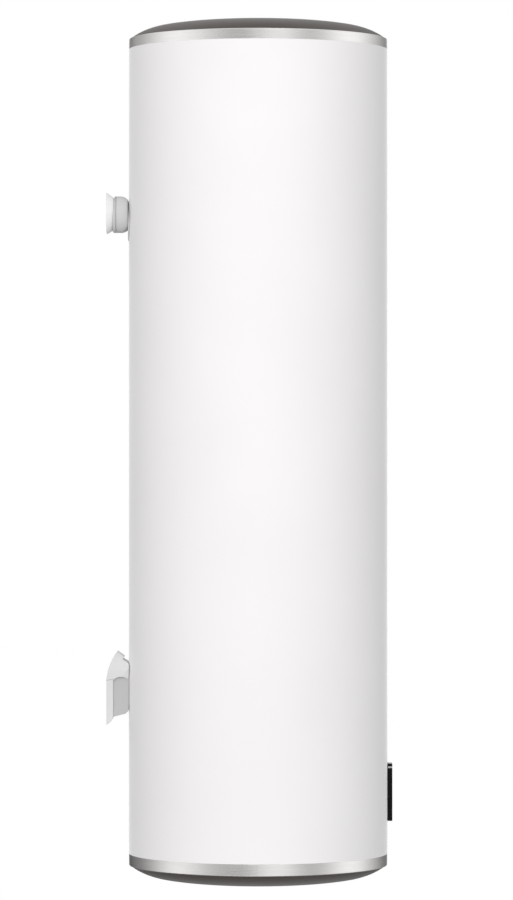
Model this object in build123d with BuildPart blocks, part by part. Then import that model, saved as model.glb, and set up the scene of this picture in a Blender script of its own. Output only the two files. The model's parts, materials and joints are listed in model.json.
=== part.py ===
"""Slim wall-hung electric storage water heater, about 80 litres, in millimetres.

Frame: the wall is the plane Y = 0, the heater hangs in front of it (towards -Y), +Z is up.
The origin is on the wall, at the middle of the hanger's two anchor slots.
Heights h below are counted from a plane just under the bottom dome and moved by H0 into the frame.
"""

import os
from math import acos, asin, atan2, cos, pi, sin, sqrt

from build123d import *

os.makedirs("parts", exist_ok=True)

# ---------------------------------------------------------------- driving dimensions
R = 176.5              # outer radius of the white jacket
WALL_GAP = 29.9        # wall to the back of the jacket
YA = -(R + WALL_GAP)   # heater axis, in front of the wall
H0 = 914.4             # height of the hanger's middle
H_ALL = 1178.0         # plane just over the top dome
LIP = 26.0             # outer edge of each trim ring, from the two end planes
DOME = 23.5            # rise of each end dome above its trim ring
BAND_TOP = 13.9        # visible height of the upper trim ring
BAND_BOT = 16.0        # visible height of the lower trim ring
T_JACKET = 0.6
R_IN = R - T_JACKET
H_J0 = LIP + BAND_BOT              # jacket's lower edge
H_J1 = H_ALL - LIP - BAND_TOP      # jacket's upper edge
# end caps: flat crown, shoulder and knuckle of the dome, wall
CAP_R1, CAP_R2, CAP_T = 1600.0, 400.0, 2.6
CAP_A, CAP_B = 95.0, 138.0         # radii where the crown meets the shoulder, and the shoulder the knuckle
R_EDGE = 174.65        # edge of each dome, just inside its trim ring
R_LIP = 175.0          # inside of the trim ring's lip
R_SKIRT = 169.4        # skirt of the bottom cap, above its edge
# inner vessel
R_T = 156.0            # barrel, outside
T_T = 1.8
HEAD_RD, HEAD_RK, HEAD_RC = R_T - T_T - 0.1, 30.0, 500.0
H_T0, H_T1 = 132.0, 1090.0         # tangent lines of the two heads
# bottom services, relative to the heater axis
FLANGE_Y = -45.0       # flange centre, towards the front
NIP_X, NIP_Y = 50.0, 35.0          # water nipples
R_NIP = 10.48          # half inch pipe thread, over the crests
R_PIPE = 9.9           # pipe above the thread
H_NIP0, H_NIP1 = 4.0, 22.0         # threaded length, all inside its well
GLAND_Y = 105.0
POST_R = 128.0         # circle of the cap screws
# control panel
PANEL_W, PANEL_D = 30.0, 6.4
PANEL_H0, PANEL_H1 = 86.3, 164.7
YF = -(R + PANEL_D)    # front face of the panel, from the axis
KEY_TRAVEL = 0.9
# wall brackets: the upper one is a long-round drum over a flared foot
DRUM_E = 16.0          # half length of the straight part of its section
DRUM_R, DRUM_RB = 24.1, 19.3       # end radius, at the rim and at the back
DRUM_DZ, DRUM_Y0 = -1.3, -29.2
RIM_TOP, RIM_LOW = -11.1, -8.3     # the rim leans a little towards the wall at its foot
FOOT_R, ROOT_R, ROOT_Y = 27.6, 20.9, -10.0
COLLAR_R = 20.3        # collar of the foot, inside the drum's mouth
SLOT_X, SLOT_R, SLOT_L = 18.0, 5.25, 22.0
PAD_DZ, PAD_R, PAD_E = -13.9, 23.2, 5.8
BOLT_X, BOLT_DZ, LOW_BOLT = 14.0, -7.0, 262.0
LOW_H = 254.0          # anchor slots of the lower shoe
LSLOT_X, LSLOT_R, LSLOT_L = 13.0, 4.5, 16.0
SHOE_X, CORE_X = 30.0, 25.5        # half widths of the lower shoe and of the body under its hood
CORE_FLOOR = -26.4
LINER = 1.1            # liner between the lower body and the jacket

AXIS = Axis((0, YA, 0), (0, 0, 1))


def section():
    """Plane of a radial section: x is the radius, y is the height h."""
    return Plane(origin=(0, YA, -H0), x_dir=(1, 0, 0), z_dir=(0, -1, 0))


def level(h, x=0.0, y=0.0):
    """Horizontal plane at height h, centred on the heater axis."""
    return Plane(origin=(x, YA + y, h - H0), x_dir=(1, 0, 0), z_dir=(0, 0, 1))


def front(y, h, x=0.0):
    """Plane facing the front (-Y) at distance y from the heater axis."""
    return Plane(origin=(x, YA + y, h - H0), x_dir=(1, 0, 0), z_dir=(0, -1, 0))


def back(y, h, x=0.0):
    """Plane facing the wall (+Y), y counted from the wall plane."""
    return Plane(origin=(x, y, h - H0), x_dir=(-1, 0, 0), z_dir=(0, 1, 0))


def side(x=0.0):
    """Side-view plane: x is Y in the frame, y is the height h."""
    return Plane(origin=(x, 0, -H0), x_dir=(0, 1, 0), z_dir=(1, 0, 0))


def dish(rd, rk, rc, z0, s, z_end=None):
    """Points of a dished end: apex, mid crown, tangent, mid knuckle, end. s is +1 up, -1 down."""
    a = rd - rk
    b = sqrt((rc - rk) ** 2 - a * a)
    g = atan2(a, b)
    e = pi / 2 if z_end is None else acos(s * (z_end - z0) / rk)
    m = (g + e) / 2
    crown = lambda t: (rc * sin(t), z0 + s * (rc * cos(t) - b))
    knuckle = lambda t: (a + rk * sin(t), z0 + s * rk * cos(t))
    return crown(0), crown(g / 2), crown(g), knuckle(m), knuckle(e)


def cap_points(lip, s, wall=CAP_T):
    """Outside and inside of an end cap, three tangent arcs each, from the apex to the skirt.
    lip is the height of the trim ring's edge, s the way the dome faces."""
    t1 = asin(CAP_A / CAP_R1)
    c1 = (0.0, DOME - CAP_R1)
    p1 = (CAP_A, c1[1] + CAP_R1 * cos(t1))
    c2 = (p1[0] - CAP_R2 * sin(t1), p1[1] - CAP_R2 * cos(t1))
    t2 = asin((CAP_B - c2[0]) / CAP_R2)
    p2 = (CAP_B, c2[1] + CAP_R2 * cos(t2))
    dr, dz = R_EDGE - p2[0], p2[1]
    r3 = sqrt(dr * dr + dz * dz) / (2 * sin(atan2(dz, dr) - t2))
    c3 = (p2[0] - r3 * sin(t2), p2[1] - r3 * cos(t2))
    result = []
    for off, r_end in ((0.0, R_EDGE), (wall, R_EDGE - wall)):
        t3 = asin((r_end - c3[0]) / (r3 - off))
        pts = []
        for c, r, a, b in ((c1, CAP_R1, 0.0, t1), (c2, CAP_R2, t1, t2), (c3, r3, t2, t3)):
            for k in (0, 1, 2):
                t = a + (b - a) * k / 2
                pts.append((c[0] + (r - off) * sin(t), lip + s * (c[1] + (r - off) * cos(t))))
        result.append(pts)
    return result


def save(builder, name):
    builder.part.label = name
    export_step(builder.part, f"parts/{name}.step")
    return builder.part


# ================================================================ jacket
with BuildPart() as outer_jacket:
    with BuildSketch(section()):
        with Locations((R - T_JACKET / 2, (H_J0 + H_J1) / 2)):
            Rectangle(T_JACKET, H_J1 - H_J0)
    revolve(axis=AXIS)
    # folded lock seam of the sheet, beside the brackets at the back
    with BuildSketch(level(H_J0 + 0.4)):
        with Locations((82.0, sqrt(R**2 - 82.0**2))):
            Rectangle(9.0, 2.2, rotation=-atan2(82.0, sqrt(R**2 - 82.0**2)) * 180 / pi)
    extrude(amount=H_J1 - H_J0 - 0.8)
    with BuildSketch(level(H_J0 - 1)):
        Circle(R_IN)
    extrude(amount=H_J1 - H_J0 + 2, mode=Mode.SUBTRACT)
    # opening for the control panel's carrier
    with BuildSketch(front(-R - 20, 126.5)):
        RectangleRounded(26.0, 62.0, 2.0)
    extrude(amount=-40, mode=Mode.SUBTRACT)
    # bolt holes of the two wall brackets
    with BuildSketch(back(-20, H0 + BOLT_DZ)):
        with Locations((-BOLT_X, 0), (BOLT_X, 0)):
            Circle(4.6)
    extrude(amount=-40, mode=Mode.SUBTRACT)
    with BuildSketch(back(-20, LOW_BOLT)):
        with Locations((-BOLT_X, 0), (BOLT_X, 0)):
            Circle(4.6)
    extrude(amount=-40, mode=Mode.SUBTRACT)
save(outer_jacket, "outer_jacket")


# ================================================================ trim rings
def ring_points(edge, lip, s):
    """Half section of a trim ring. edge is the jacket's edge, lip the outer end, s the way its lip faces."""
    hidden = [
        (R_IN - 0.15, edge - s * 14.0),
        (R_IN - 0.15, edge + s * 0.1),
        (R - 0.3, edge + s * 0.1),
        (R - 0.45, lip - s * 1.2),
    ]
    corner = [(R - 0.45, lip - s * 1.2), (R - 0.66, lip - s * 0.32), (R - 1.2, lip)]
    inside = [
        (R - 1.2, lip),
        (R_LIP, lip),
        (R_LIP, lip - s * 3.0),
        (R_IN - 1.35, lip - s * 3.6),
        (R_IN - 1.35, edge - s * 14.0),
        (R_IN - 0.15, edge - s * 14.0),
    ]
    return hidden, corner, inside


with BuildPart() as top_trim_ring:
    hidden, corner, inside = ring_points(H_J1, H_ALL - LIP, 1)
    with BuildSketch(section()):
        with BuildLine():
            Polyline(*hidden)
            ThreePointArc(*corner)
            Polyline(*inside)
        make_face()
    revolve(axis=AXIS)
save(top_trim_ring, "top_trim_ring")

with BuildPart() as bottom_trim_ring:
    hidden, corner, inside = ring_points(H_J0, LIP, -1)
    with BuildSketch(section()):
        with BuildLine():
            Polyline(*hidden)
            ThreePointArc(*corner)
            Polyline(*inside)
        make_face()
    revolve(axis=AXIS)
save(bottom_trim_ring, "bottom_trim_ring")

# ================================================================ end caps
with BuildPart() as top_cap:
    outer, inner = cap_points(H_ALL - LIP, 1)
    lip = H_ALL - LIP
    with BuildSketch(section()):
        with BuildLine():
            ThreePointArc(*outer[0:3])
            ThreePointArc(*outer[3:6])
            ThreePointArc(*outer[6:9])
            # short neck inside the ring's lip, then a step that sits in the ring
            Polyline(
                outer[8],
                (R_EDGE, lip - 2.2),
                (173.3, lip - 3.4),
                (173.3, lip - 5.4),
                (R_EDGE - CAP_T - 1.0, lip - 5.4),
                inner[8],
            )
            ThreePointArc(*inner[0:3])
            ThreePointArc(*inner[3:6])
            ThreePointArc(*inner[6:9])
            Line(inner[0], outer[0])
        make_face()
    revolve(axis=AXIS)
save(top_cap, "top_cap")

WELL_R, WELL_RO, WELL_TOP = 22.0, 24.5, 30.0
with BuildPart() as cap_cavity:
    # inside of the bottom cap, less the walls of its wells
    outer, inner = cap_points(LIP, -1)
    with BuildSketch(section()):
        with BuildLine():
            ThreePointArc(*inner[0:3])
            ThreePointArc(*inner[3:6])
            ThreePointArc(*inner[6:9])
            Polyline(inner[8], (R_SKIRT - CAP_T, LIP + 1.7), (R_SKIRT - CAP_T, 60.0), (0, 60.0), inner[0])
        make_face()
    revolve(axis=AXIS)
    with BuildSketch(level(-5.0)):
        with Locations((-NIP_X, NIP_Y), (NIP_X, NIP_Y)):
            Circle(WELL_RO)
    extrude(amount=5.0 + WELL_TOP, mode=Mode.SUBTRACT)
    with BuildSketch(level(-5.0)):
        with Locations((0, GLAND_Y)):
            Circle(18.0)
    extrude(amount=33.0, mode=Mode.SUBTRACT)
    with BuildSketch(level(-5.0)):
        with PolarLocations(POST_R, 4, start_angle=45):
            Circle(8.6)
    extrude(amount=27.5, mode=Mode.SUBTRACT)

with BuildPart() as bottom_cap:
    outer, inner = cap_points(LIP, -1)
    with BuildSketch(section()):
        with BuildLine():
            ThreePointArc(*outer[0:3])
            ThreePointArc(*outer[3:6])
            ThreePointArc(*outer[6:9])
            Polyline(outer[8], (R_EDGE, LIP + 2.2), (R_SKIRT, LIP + 4.0), (R_SKIRT, 48.0), (0, 48.0), outer[0])
        make_face()
    revolve(axis=AXIS)
    add(cap_cavity.part, mode=Mode.SUBTRACT)
    with BuildSketch(level(-5.0)):
        with Locations((-NIP_X, NIP_Y), (NIP_X, NIP_Y)):
            Circle(WELL_R)
    extrude(amount=5.0 + WELL_TOP - 2.5, mode=Mode.SUBTRACT)
    with BuildSketch(level(-5.0)):
        with Locations((-NIP_X, NIP_Y), (NIP_X, NIP_Y)):
            Circle(14.0)
    extrude(amount=60, mode=Mode.SUBTRACT)
    with BuildSketch(level(-5.0)):
        with Locations((0, GLAND_Y)):
            Circle(15.5)
    extrude(amount=30.5, mode=Mode.SUBTRACT)
    with BuildSketch(level(-5.0)):
        with Locations((0, GLAND_Y)):
            Circle(8.2)
    extrude(amount=60, mode=Mode.SUBTRACT)
    with BuildSketch(level(-5.0)):
        with PolarLocations(POST_R, 4, start_angle=45):
            Circle(6.2)
    extrude(amount=25.0, mode=Mode.SUBTRACT)
    with BuildSketch(level(-5.0)):
        with PolarLocations(POST_R, 4, start_angle=45):
            Circle(2.3)
    extrude(amount=60, mode=Mode.SUBTRACT)
save(bottom_cap, "bottom_cap")


# colour-coded plastic grommets snapped into the floors of the nipple wells
for name, x in (("cold_grommet", -NIP_X), ("hot_grommet", NIP_X)):
    with BuildPart() as grommet:
        with BuildSketch(level(22.6, x, NIP_Y)):
            Circle(18.0)
        extrude(amount=4.8)
        chamfer(grommet.edges().filter_by(GeomType.CIRCLE).group_by(Axis.Z)[0], 1.6)
        with BuildSketch(level(27.4, x, NIP_Y)):
            Circle(13.8)
        extrude(amount=2.7)
        with BuildSketch(level(30.1, x, NIP_Y)):
            Circle(14.6)
        extrude(amount=1.4)
        with BuildSketch(level(20.0, x, NIP_Y)):
            Circle(R_NIP + 0.6)
        extrude(amount=20, mode=Mode.SUBTRACT)
    save(grommet, name)

with BuildPart() as cap_screws:
    # pan-head screws up through the cap's wells into the posts
    with BuildSketch(level(17.0)):
        with PolarLocations(POST_R, 4, start_angle=45):
            Circle(4.4)
    extrude(amount=2.95)
    fillet(cap_screws.edges().filter_by(GeomType.CIRCLE).group_by(Axis.Z)[0], 1.2)
    with BuildSketch(level(19.9)):
        with PolarLocations(POST_R, 4, start_angle=45):
            Circle(1.9)
    extrude(amount=20)
    with BuildSketch(level(17.0)):
        with PolarLocations(POST_R, 4, start_angle=45):
            Rectangle(4.4, 0.9)
            Rectangle(0.9, 4.4)
    extrude(amount=1.3, mode=Mode.SUBTRACT)
save(cap_screws, "cap_screws")

with BuildPart() as cap_posts:
    with BuildSketch(level(22.9)):
        with PolarLocations(POST_R, 4, start_angle=45):
            RegularPolygon(5.5, 6, major_radius=False)
    extrude(amount=88.0 - 22.9)
    with BuildSketch(level(22.0)):
        with PolarLocations(POST_R, 4, start_angle=45):
            Circle(2.15)
    extrude(amount=26, mode=Mode.SUBTRACT)
save(cap_posts, "cap_posts")

with BuildPart() as foam_base_plate:
    with BuildSketch(level(88.05)):
        Circle(R_IN - 0.3)
        Circle(92.0, mode=Mode.SUBTRACT)
        with Locations((0, -164.0)):
            Circle(3.5, mode=Mode.SUBTRACT)
    extrude(amount=1.2)
save(foam_base_plate, "foam_base_plate")

# ================================================================ inner vessel
with BuildPart() as tank_barrel:
    with BuildSketch(level(H_T0 + 6)):
        Circle(R_T)
        Circle(R_T - T_T, mode=Mode.SUBTRACT)
    extrude(amount=H_T1 - H_T0 - 12)
save(tank_barrel, "tank_barrel")


def head_points(z0, s):
    o = dish(HEAD_RD, HEAD_RK, HEAD_RC, z0, s)
    n = dish(HEAD_RD - T_T, HEAD_RK - T_T, HEAD_RC - T_T, z0, s)
    return o, n


with BuildPart() as tank_upper_head:
    outer, inner = head_points(H_T1, 1)
    with BuildSketch(section()):
        with BuildLine():
            ThreePointArc(*outer[0:3])
            ThreePointArc(*outer[2:5])
            Polyline(outer[4], (HEAD_RD, H_T1 - 18), (HEAD_RD - T_T, H_T1 - 18), inner[4])
            ThreePointArc(*inner[2:5])
            ThreePointArc(*inner[0:3])
            Line(inner[0], outer[0])
        make_face()
    revolve(axis=AXIS)
save(tank_upper_head, "tank_upper_head")

with BuildPart() as tank_lower_head:
    outer, inner = head_points(H_T0, -1)
    with BuildSketch(section()):
        with BuildLine():
            ThreePointArc(*outer[0:3])
            ThreePointArc(*outer[2:5])
            Polyline(outer[4], (HEAD_RD, H_T0 + 18), (HEAD_RD - T_T, H_T0 + 18), inner[4])
            ThreePointArc(*inner[2:5])
            ThreePointArc(*inner[0:3])
            Line(inner[0], outer[0])
        make_face()
    revolve(axis=AXIS)
    with BuildSketch(level(60.0)):
        with Locations((0, FLANGE_Y)):
            Circle(46.15)
        with Locations((-NIP_X, NIP_Y), (NIP_X, NIP_Y)):
            Circle(R_PIPE + 0.1)
    extrude(amount=60, mode=Mode.SUBTRACT)
save(tank_lower_head, "tank_lower_head")

with BuildPart() as flange_neck:
    # collar welded into the lower head
    with BuildSketch(level(76.6, 0, FLANGE_Y)):
        Circle(46.0)
        Circle(33.5, mode=Mode.SUBTRACT)
    extrude(amount=18.0)
    with BuildSketch(level(76.0, 0, FLANGE_Y)):
        with PolarLocations(40.0, 6):
            Circle(3.0)
    extrude(amount=12.6, mode=Mode.SUBTRACT)
save(flange_neck, "flange_neck")

with BuildPart() as flange_studs:
    with BuildSketch(level(60.0, 0, FLANGE_Y)):
        with PolarLocations(40.0, 6):
            Circle(2.95)
    extrude(amount=28.4)
save(flange_studs, "flange_studs")

with BuildPart() as flange_gasket:
    with BuildSketch(level(74.2, 0, FLANGE_Y)):
        Circle(45.0)
        Circle(33.5, mode=Mode.SUBTRACT)
        with PolarLocations(40.0, 6):
            Circle(3.3, mode=Mode.SUBTRACT)
    extrude(amount=2.35)
save(flange_gasket, "flange_gasket")

LEGS = [(-14.0, -16.0), (14.0, -16.0), (-14.0, 16.0), (14.0, 16.0)]
with BuildPart() as heater_flange:
    with BuildSketch(level(68.5, 0, FLANGE_Y)):
        Circle(46.0)
        with PolarLocations(40.0, 6):
            Circle(3.3, mode=Mode.SUBTRACT)
        with Locations(*LEGS):
            Circle(4.15, mode=Mode.SUBTRACT)
        with Locations((22.0, 0)):
            Circle(3.05, mode=Mode.SUBTRACT)
        with Locations((-20.0, 0)):
            Circle(4.6, mode=Mode.SUBTRACT)
    extrude(amount=5.65)
    fillet(heater_flange.edges().filter_by(GeomType.CIRCLE).group_by(Axis.Z)[0].sort_by(SortBy.RADIUS)[-1], 1.0)
save(heater_flange, "heater_flange")

with BuildPart() as flange_nuts:
    with BuildSketch(level(63.0, 0, FLANGE_Y)):
        with PolarLocations(40.0, 6):
            RegularPolygon(5.0, 6, major_radius=False)
        with PolarLocations(40.0, 6):
            Circle(3.0, mode=Mode.SUBTRACT)
    extrude(amount=5.4)
save(flange_nuts, "flange_nuts")

with BuildPart() as heating_element:
    # two hairpins of sheathed tube standing on the flange
    for v in (-16.0, 16.0):
        with BuildLine(Plane(origin=(0, YA + FLANGE_Y + v, -H0), x_dir=(1, 0, 0), z_dir=(0, -1, 0))) as hairpin:
            l1 = Line((-14.0, 58.0), (-14.0, 400.0 + v))
            l2 = CenterArc((0, 400.0 + v), 14.0, 180, -180)
            l3 = Line((14.0, 400.0 + v), (14.0, 58.0))
        with BuildSketch(level(58.0, -14.0, FLANGE_Y + v)):
            Circle(4.1)
        sweep(path=hairpin.line)
save(heating_element, "heating_element")

with BuildPart() as element_terminals:
    with BuildSketch(level(54.0, 0, FLANGE_Y)):
        with Locations(*LEGS):
            Circle(3.4)
    extrude(amount=3.95)
    with BuildSketch(level(48.0, 0, FLANGE_Y)):
        with Locations(*LEGS):
            Circle(1.5)
    extrude(amount=6.2)
save(element_terminals, "element_terminals")

with BuildPart() as anode_rod:
    with BuildSketch(level(76.0, 22.0, FLANGE_Y)):
        Circle(10.0)
    extrude(amount=250.0)
    fillet(anode_rod.edges().filter_by(GeomType.CIRCLE).group_by(Axis.Z)[-1], 3.0)
    with BuildSketch(level(58.0, 22.0, FLANGE_Y)):
        Circle(3.0)
    extrude(amount=18.2)
save(anode_rod, "anode_rod")

with BuildPart() as anode_nut:
    with BuildSketch(level(62.5, 22.0, FLANGE_Y)):
        RegularPolygon(5.5, 6, major_radius=False)
        Circle(3.05, mode=Mode.SUBTRACT)
    extrude(amount=5.9)
save(anode_nut, "anode_nut")

with BuildPart() as sensor_well:
    # closed tube for the sensors, soldered through the flange
    with BuildSketch(level(67.0, -20.0, FLANGE_Y)):
        Circle(4.5)
    extrude(amount=230.0)
    fillet(sensor_well.edges().filter_by(GeomType.CIRCLE).group_by(Axis.Z)[-1], 2.0)
    with BuildSketch(level(66.0, -20.0, FLANGE_Y)):
        Circle(3.6)
    extrude(amount=226.0, mode=Mode.SUBTRACT)
save(sensor_well, "sensor_well")

with BuildPart() as thermal_cutout:
    # plug-on limiter under the sensor tube, with a guide for its reset button
    with BuildSketch(level(42.0, -20.0, FLANGE_Y)):
        RectangleRounded(26.0, 20.0, 2.5)
    extrude(amount=24.8)
    with BuildSketch(level(66.7, -20.0, FLANGE_Y)):
        Circle(3.2)
    extrude(amount=120.0)
    with BuildSketch(level(40.2, -20.0, FLANGE_Y)):
        Circle(5.4)
    extrude(amount=2.0)
    with BuildSketch(level(40.0, -20.0, FLANGE_Y)):
        Circle(3.5)
    extrude(amount=9.0, mode=Mode.SUBTRACT)
save(thermal_cutout, "thermal_cutout")

with BuildPart() as cutout_reset_button:
    with BuildSketch(level(38.0, -20.0, FLANGE_Y)):
        Circle(3.2)
    extrude(amount=8.5)
    fillet(cutout_reset_button.edges().filter_by(GeomType.CIRCLE).group_by(Axis.Z)[0], 0.8)
save(cutout_reset_button, "cutout_reset_button")

# ================================================================ water pipes
with BuildPart() as cold_inlet_pipe:
    with BuildSketch(level(H_NIP0, -NIP_X, NIP_Y)):
        Circle(R_NIP)
    extrude(amount=H_NIP1 - H_NIP0)
    chamfer(cold_inlet_pipe.edges().filter_by(GeomType.CIRCLE).group_by(Axis.Z)[0], 0.9)
    with BuildSketch(level(H_NIP1, -NIP_X, NIP_Y)):
        Circle(R_PIPE)
    extrude(amount=112.0 - H_NIP1)
    with BuildSketch(level(0.0, -NIP_X, NIP_Y)):
        Circle(8.0)
    extrude(amount=130.0, mode=Mode.SUBTRACT)
save(cold_inlet_pipe, "cold_inlet_pipe")

with BuildPart() as inlet_diffuser:
    # mushroom deflector that spreads the cold water along the bottom
    with BuildSketch(level(106.0, -NIP_X, NIP_Y)):
        Circle(7.9)
        Circle(6.4, mode=Mode.SUBTRACT)
    extrude(amount=22.0)
    with BuildSketch(level(128.0, -NIP_X, NIP_Y)):
        Circle(17.0)
    extrude(amount=3.0)
    with BuildSketch(level(112.1, -NIP_X, NIP_Y)):
        Circle(12.0)
        Circle(6.4, mode=Mode.SUBTRACT)
    extrude(amount=2.4)
    for a in (0, 90):
        with BuildSketch(level(116.0, -NIP_X, NIP_Y)):
            Rectangle(30, 4.0, rotation=a)
        extrude(amount=10.0, mode=Mode.SUBTRACT)
save(inlet_diffuser, "inlet_diffuser")

with BuildPart() as hot_outlet_pipe:
    with BuildSketch(level(H_NIP0, NIP_X, NIP_Y)):
        Circle(R_NIP)
    extrude(amount=H_NIP1 - H_NIP0)
    chamfer(hot_outlet_pipe.edges().filter_by(GeomType.CIRCLE).group_by(Axis.Z)[0], 0.9)
    with BuildSketch(level(H_NIP1, NIP_X, NIP_Y)):
        Circle(R_PIPE)
    extrude(amount=112.0 - H_NIP1)
    with BuildSketch(level(112.0, NIP_X, NIP_Y)):
        Circle(8.0)
    extrude(amount=H_T1 + 14 - 112.0)
    with BuildSketch(level(3.0, NIP_X, NIP_Y)):
        Circle(6.8)
    extrude(amount=H_T1 + 40, mode=Mode.SUBTRACT)
save(hot_outlet_pipe, "hot_outlet_pipe")

# ================================================================ electrics in the bottom
with BuildPart() as board_bracket:
    # U-shaped tray hung from the foam base plate
    with BuildSketch(level(28.0, 0, -116.0)):
        Rectangle(116.0, 42.0)
    extrude(amount=60.0)
    with BuildSketch(level(29.2, 0, -116.0)):
        Rectangle(113.6, 60.0)
    extrude(amount=60.0, mode=Mode.SUBTRACT)
    with BuildSketch(level(86.8, 0, -116.0)):
        with Locations((-64.0, 0), (64.0, 0)):
            Rectangle(14.0, 42.0)
    extrude(amount=1.2)
    with BuildSketch(level(20.0, 0, -116.0)):
        with GridLocations(84.0, 24.0, 2, 2):
            Circle(1.7)
    extrude(amount=20.0, mode=Mode.SUBTRACT)
save(board_bracket, "board_bracket")

with BuildPart() as power_board:
    with BuildSketch(level(33.0, 0, -116.0)):
        RectangleRounded(106.0, 38.0, 1.5)
    extrude(amount=1.6)
    # four spacers to the tray
    with BuildSketch(level(29.25, 0, -116.0)):
        with GridLocations(84.0, 24.0, 2, 2):
            Circle(2.8)
    extrude(amount=3.8)
save(power_board, "power_board")

with BuildPart() as board_parts:
    # relays, screw terminal, plug header and capacitor, each its own solid on the board
    with BuildSketch(level(34.65, 0, -116.0)):
        with Locations((-36.0, 6.0), (-14.0, -6.0)):
            Rectangle(19.0, 15.0)
    extrude(amount=16.0)
    with BuildSketch(level(34.65, 0, -116.0)):
        with Locations((14.0, 13.5)):
            Rectangle(18.0, 9.0)
    extrude(amount=11.0)
    with BuildSketch(level(34.65, 0, -116.0)):
        with Locations((0.0, -12.5)):
            Rectangle(8.0, 6.0)
    extrude(amount=8.0)
    with BuildSketch(level(34.65, 0, -116.0)):
        with Locations((42.0, -3.0)):
            Circle(6.5)
    extrude(amount=20.0)
save(board_parts, "board_parts")

with BuildPart() as terminal_block:
    with BuildSketch(level(70.0, 112.0, -8.0)):
        RectangleRounded(18.0, 34.0, 1.5)
    extrude(amount=18.0)
    with BuildSketch(level(69.0, 112.0, -8.0)):
        with GridLocations(1, 11.0, 1, 3):
            Circle(3.1)
    extrude(amount=7.0, mode=Mode.SUBTRACT)
save(terminal_block, "terminal_block")

with BuildPart() as element_leads:
    # insulated leads from the two front terminals to the screw terminal on the board
    for x0, x1 in ((-14.0, 9.0), (14.0, 19.0)):
        y0, y1 = FLANGE_Y - 16.0, -98.0
        pts = [
            (x0, YA + y0, 47.9 - H0),
            (x0, YA + y0, 41.0 - H0),
            (x0, YA + y0 - 12.0, 40.0 - H0),
            (x1, YA + y1 + 12.0, 40.0 - H0),
            (x1, YA + y1 + 0.1, 40.0 - H0),
        ]
        with BuildLine() as lead:
            FilletPolyline(*pts, radius=3.5)
        with BuildSketch(Plane(origin=pts[0], z_dir=(0, 0, -1))):
            Circle(1.4)
        sweep(path=lead.line)
save(element_leads, "element_leads")

with BuildPart() as display_cable:
    pts = [
        (0, YA - 164.0, 95.9 - H0),
        (0, YA - 164.0, 58.0 - H0),
        (0, YA - 128.5, 58.0 - H0),
        (0, YA - 128.5, 42.75 - H0),
    ]
    with BuildLine() as cable:
        FilletPolyline(*pts, radius=12.0)
    with BuildSketch(Plane(origin=pts[0], z_dir=(0, 0, -1))):
        Circle(2.0)
    sweep(path=cable.line)
save(display_cable, "display_cable")

# cable gland, recessed in its own well in the bottom cap
with BuildPart() as gland_body:
    with BuildSketch(level(19.4, 0, GLAND_Y)):
        RegularPolygon(10.5, 6, major_radius=False)
    extrude(amount=6.0)
    with BuildSketch(level(25.3, 0, GLAND_Y)):
        Circle(7.9)
    extrude(amount=9.0)
    with BuildSketch(level(10.0, 0, GLAND_Y)):
        Circle(6.6)
    extrude(amount=30.0, mode=Mode.SUBTRACT)
save(gland_body, "gland_body")

with BuildPart() as gland_dome_nut:
    with BuildSketch(level(9.6, 0, GLAND_Y)):
        Circle(10.2)
    extrude(amount=9.7)
    fillet(gland_dome_nut.edges().filter_by(GeomType.CIRCLE).group_by(Axis.Z)[0], 3.0)
    with BuildSketch(level(9.0, 0, GLAND_Y)):
        Circle(5.6)
    extrude(amount=20.0, mode=Mode.SUBTRACT)
    with BuildSketch(level(12.0, 0, GLAND_Y)):
        Circle(6.6)
    extrude(amount=20.0, mode=Mode.SUBTRACT)
    with BuildSketch(level(13.0, 0, GLAND_Y)):
        with PolarLocations(10.2, 18):
            Circle(0.7)
    extrude(amount=10.0, mode=Mode.SUBTRACT)
save(gland_dome_nut, "gland_dome_nut")

with BuildPart() as gland_seal:
    with BuildSketch(level(12.1, 0, GLAND_Y)):
        Circle(6.4)
        Circle(4.5, mode=Mode.SUBTRACT)
    extrude(amount=14.0)
save(gland_seal, "gland_seal")

with BuildPart() as gland_locknut:
    with BuildSketch(level(28.1, 0, GLAND_Y)):
        RegularPolygon(10.5, 6, major_radius=False)
        Circle(8.0, mode=Mode.SUBTRACT)
    extrude(amount=4.0)
save(gland_locknut, "gland_locknut")

# ================================================================ control panel
KEYS = {"up_key": 116.6, "down_key": 106.6, "power_key": 95.6}
TRIM_H0, TRIM_H1 = 158.6, 160.9


KEY_SIZE, KEY_R, KEY_POWER_R = (15.0, 7.0), 2.2, 4.4

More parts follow.
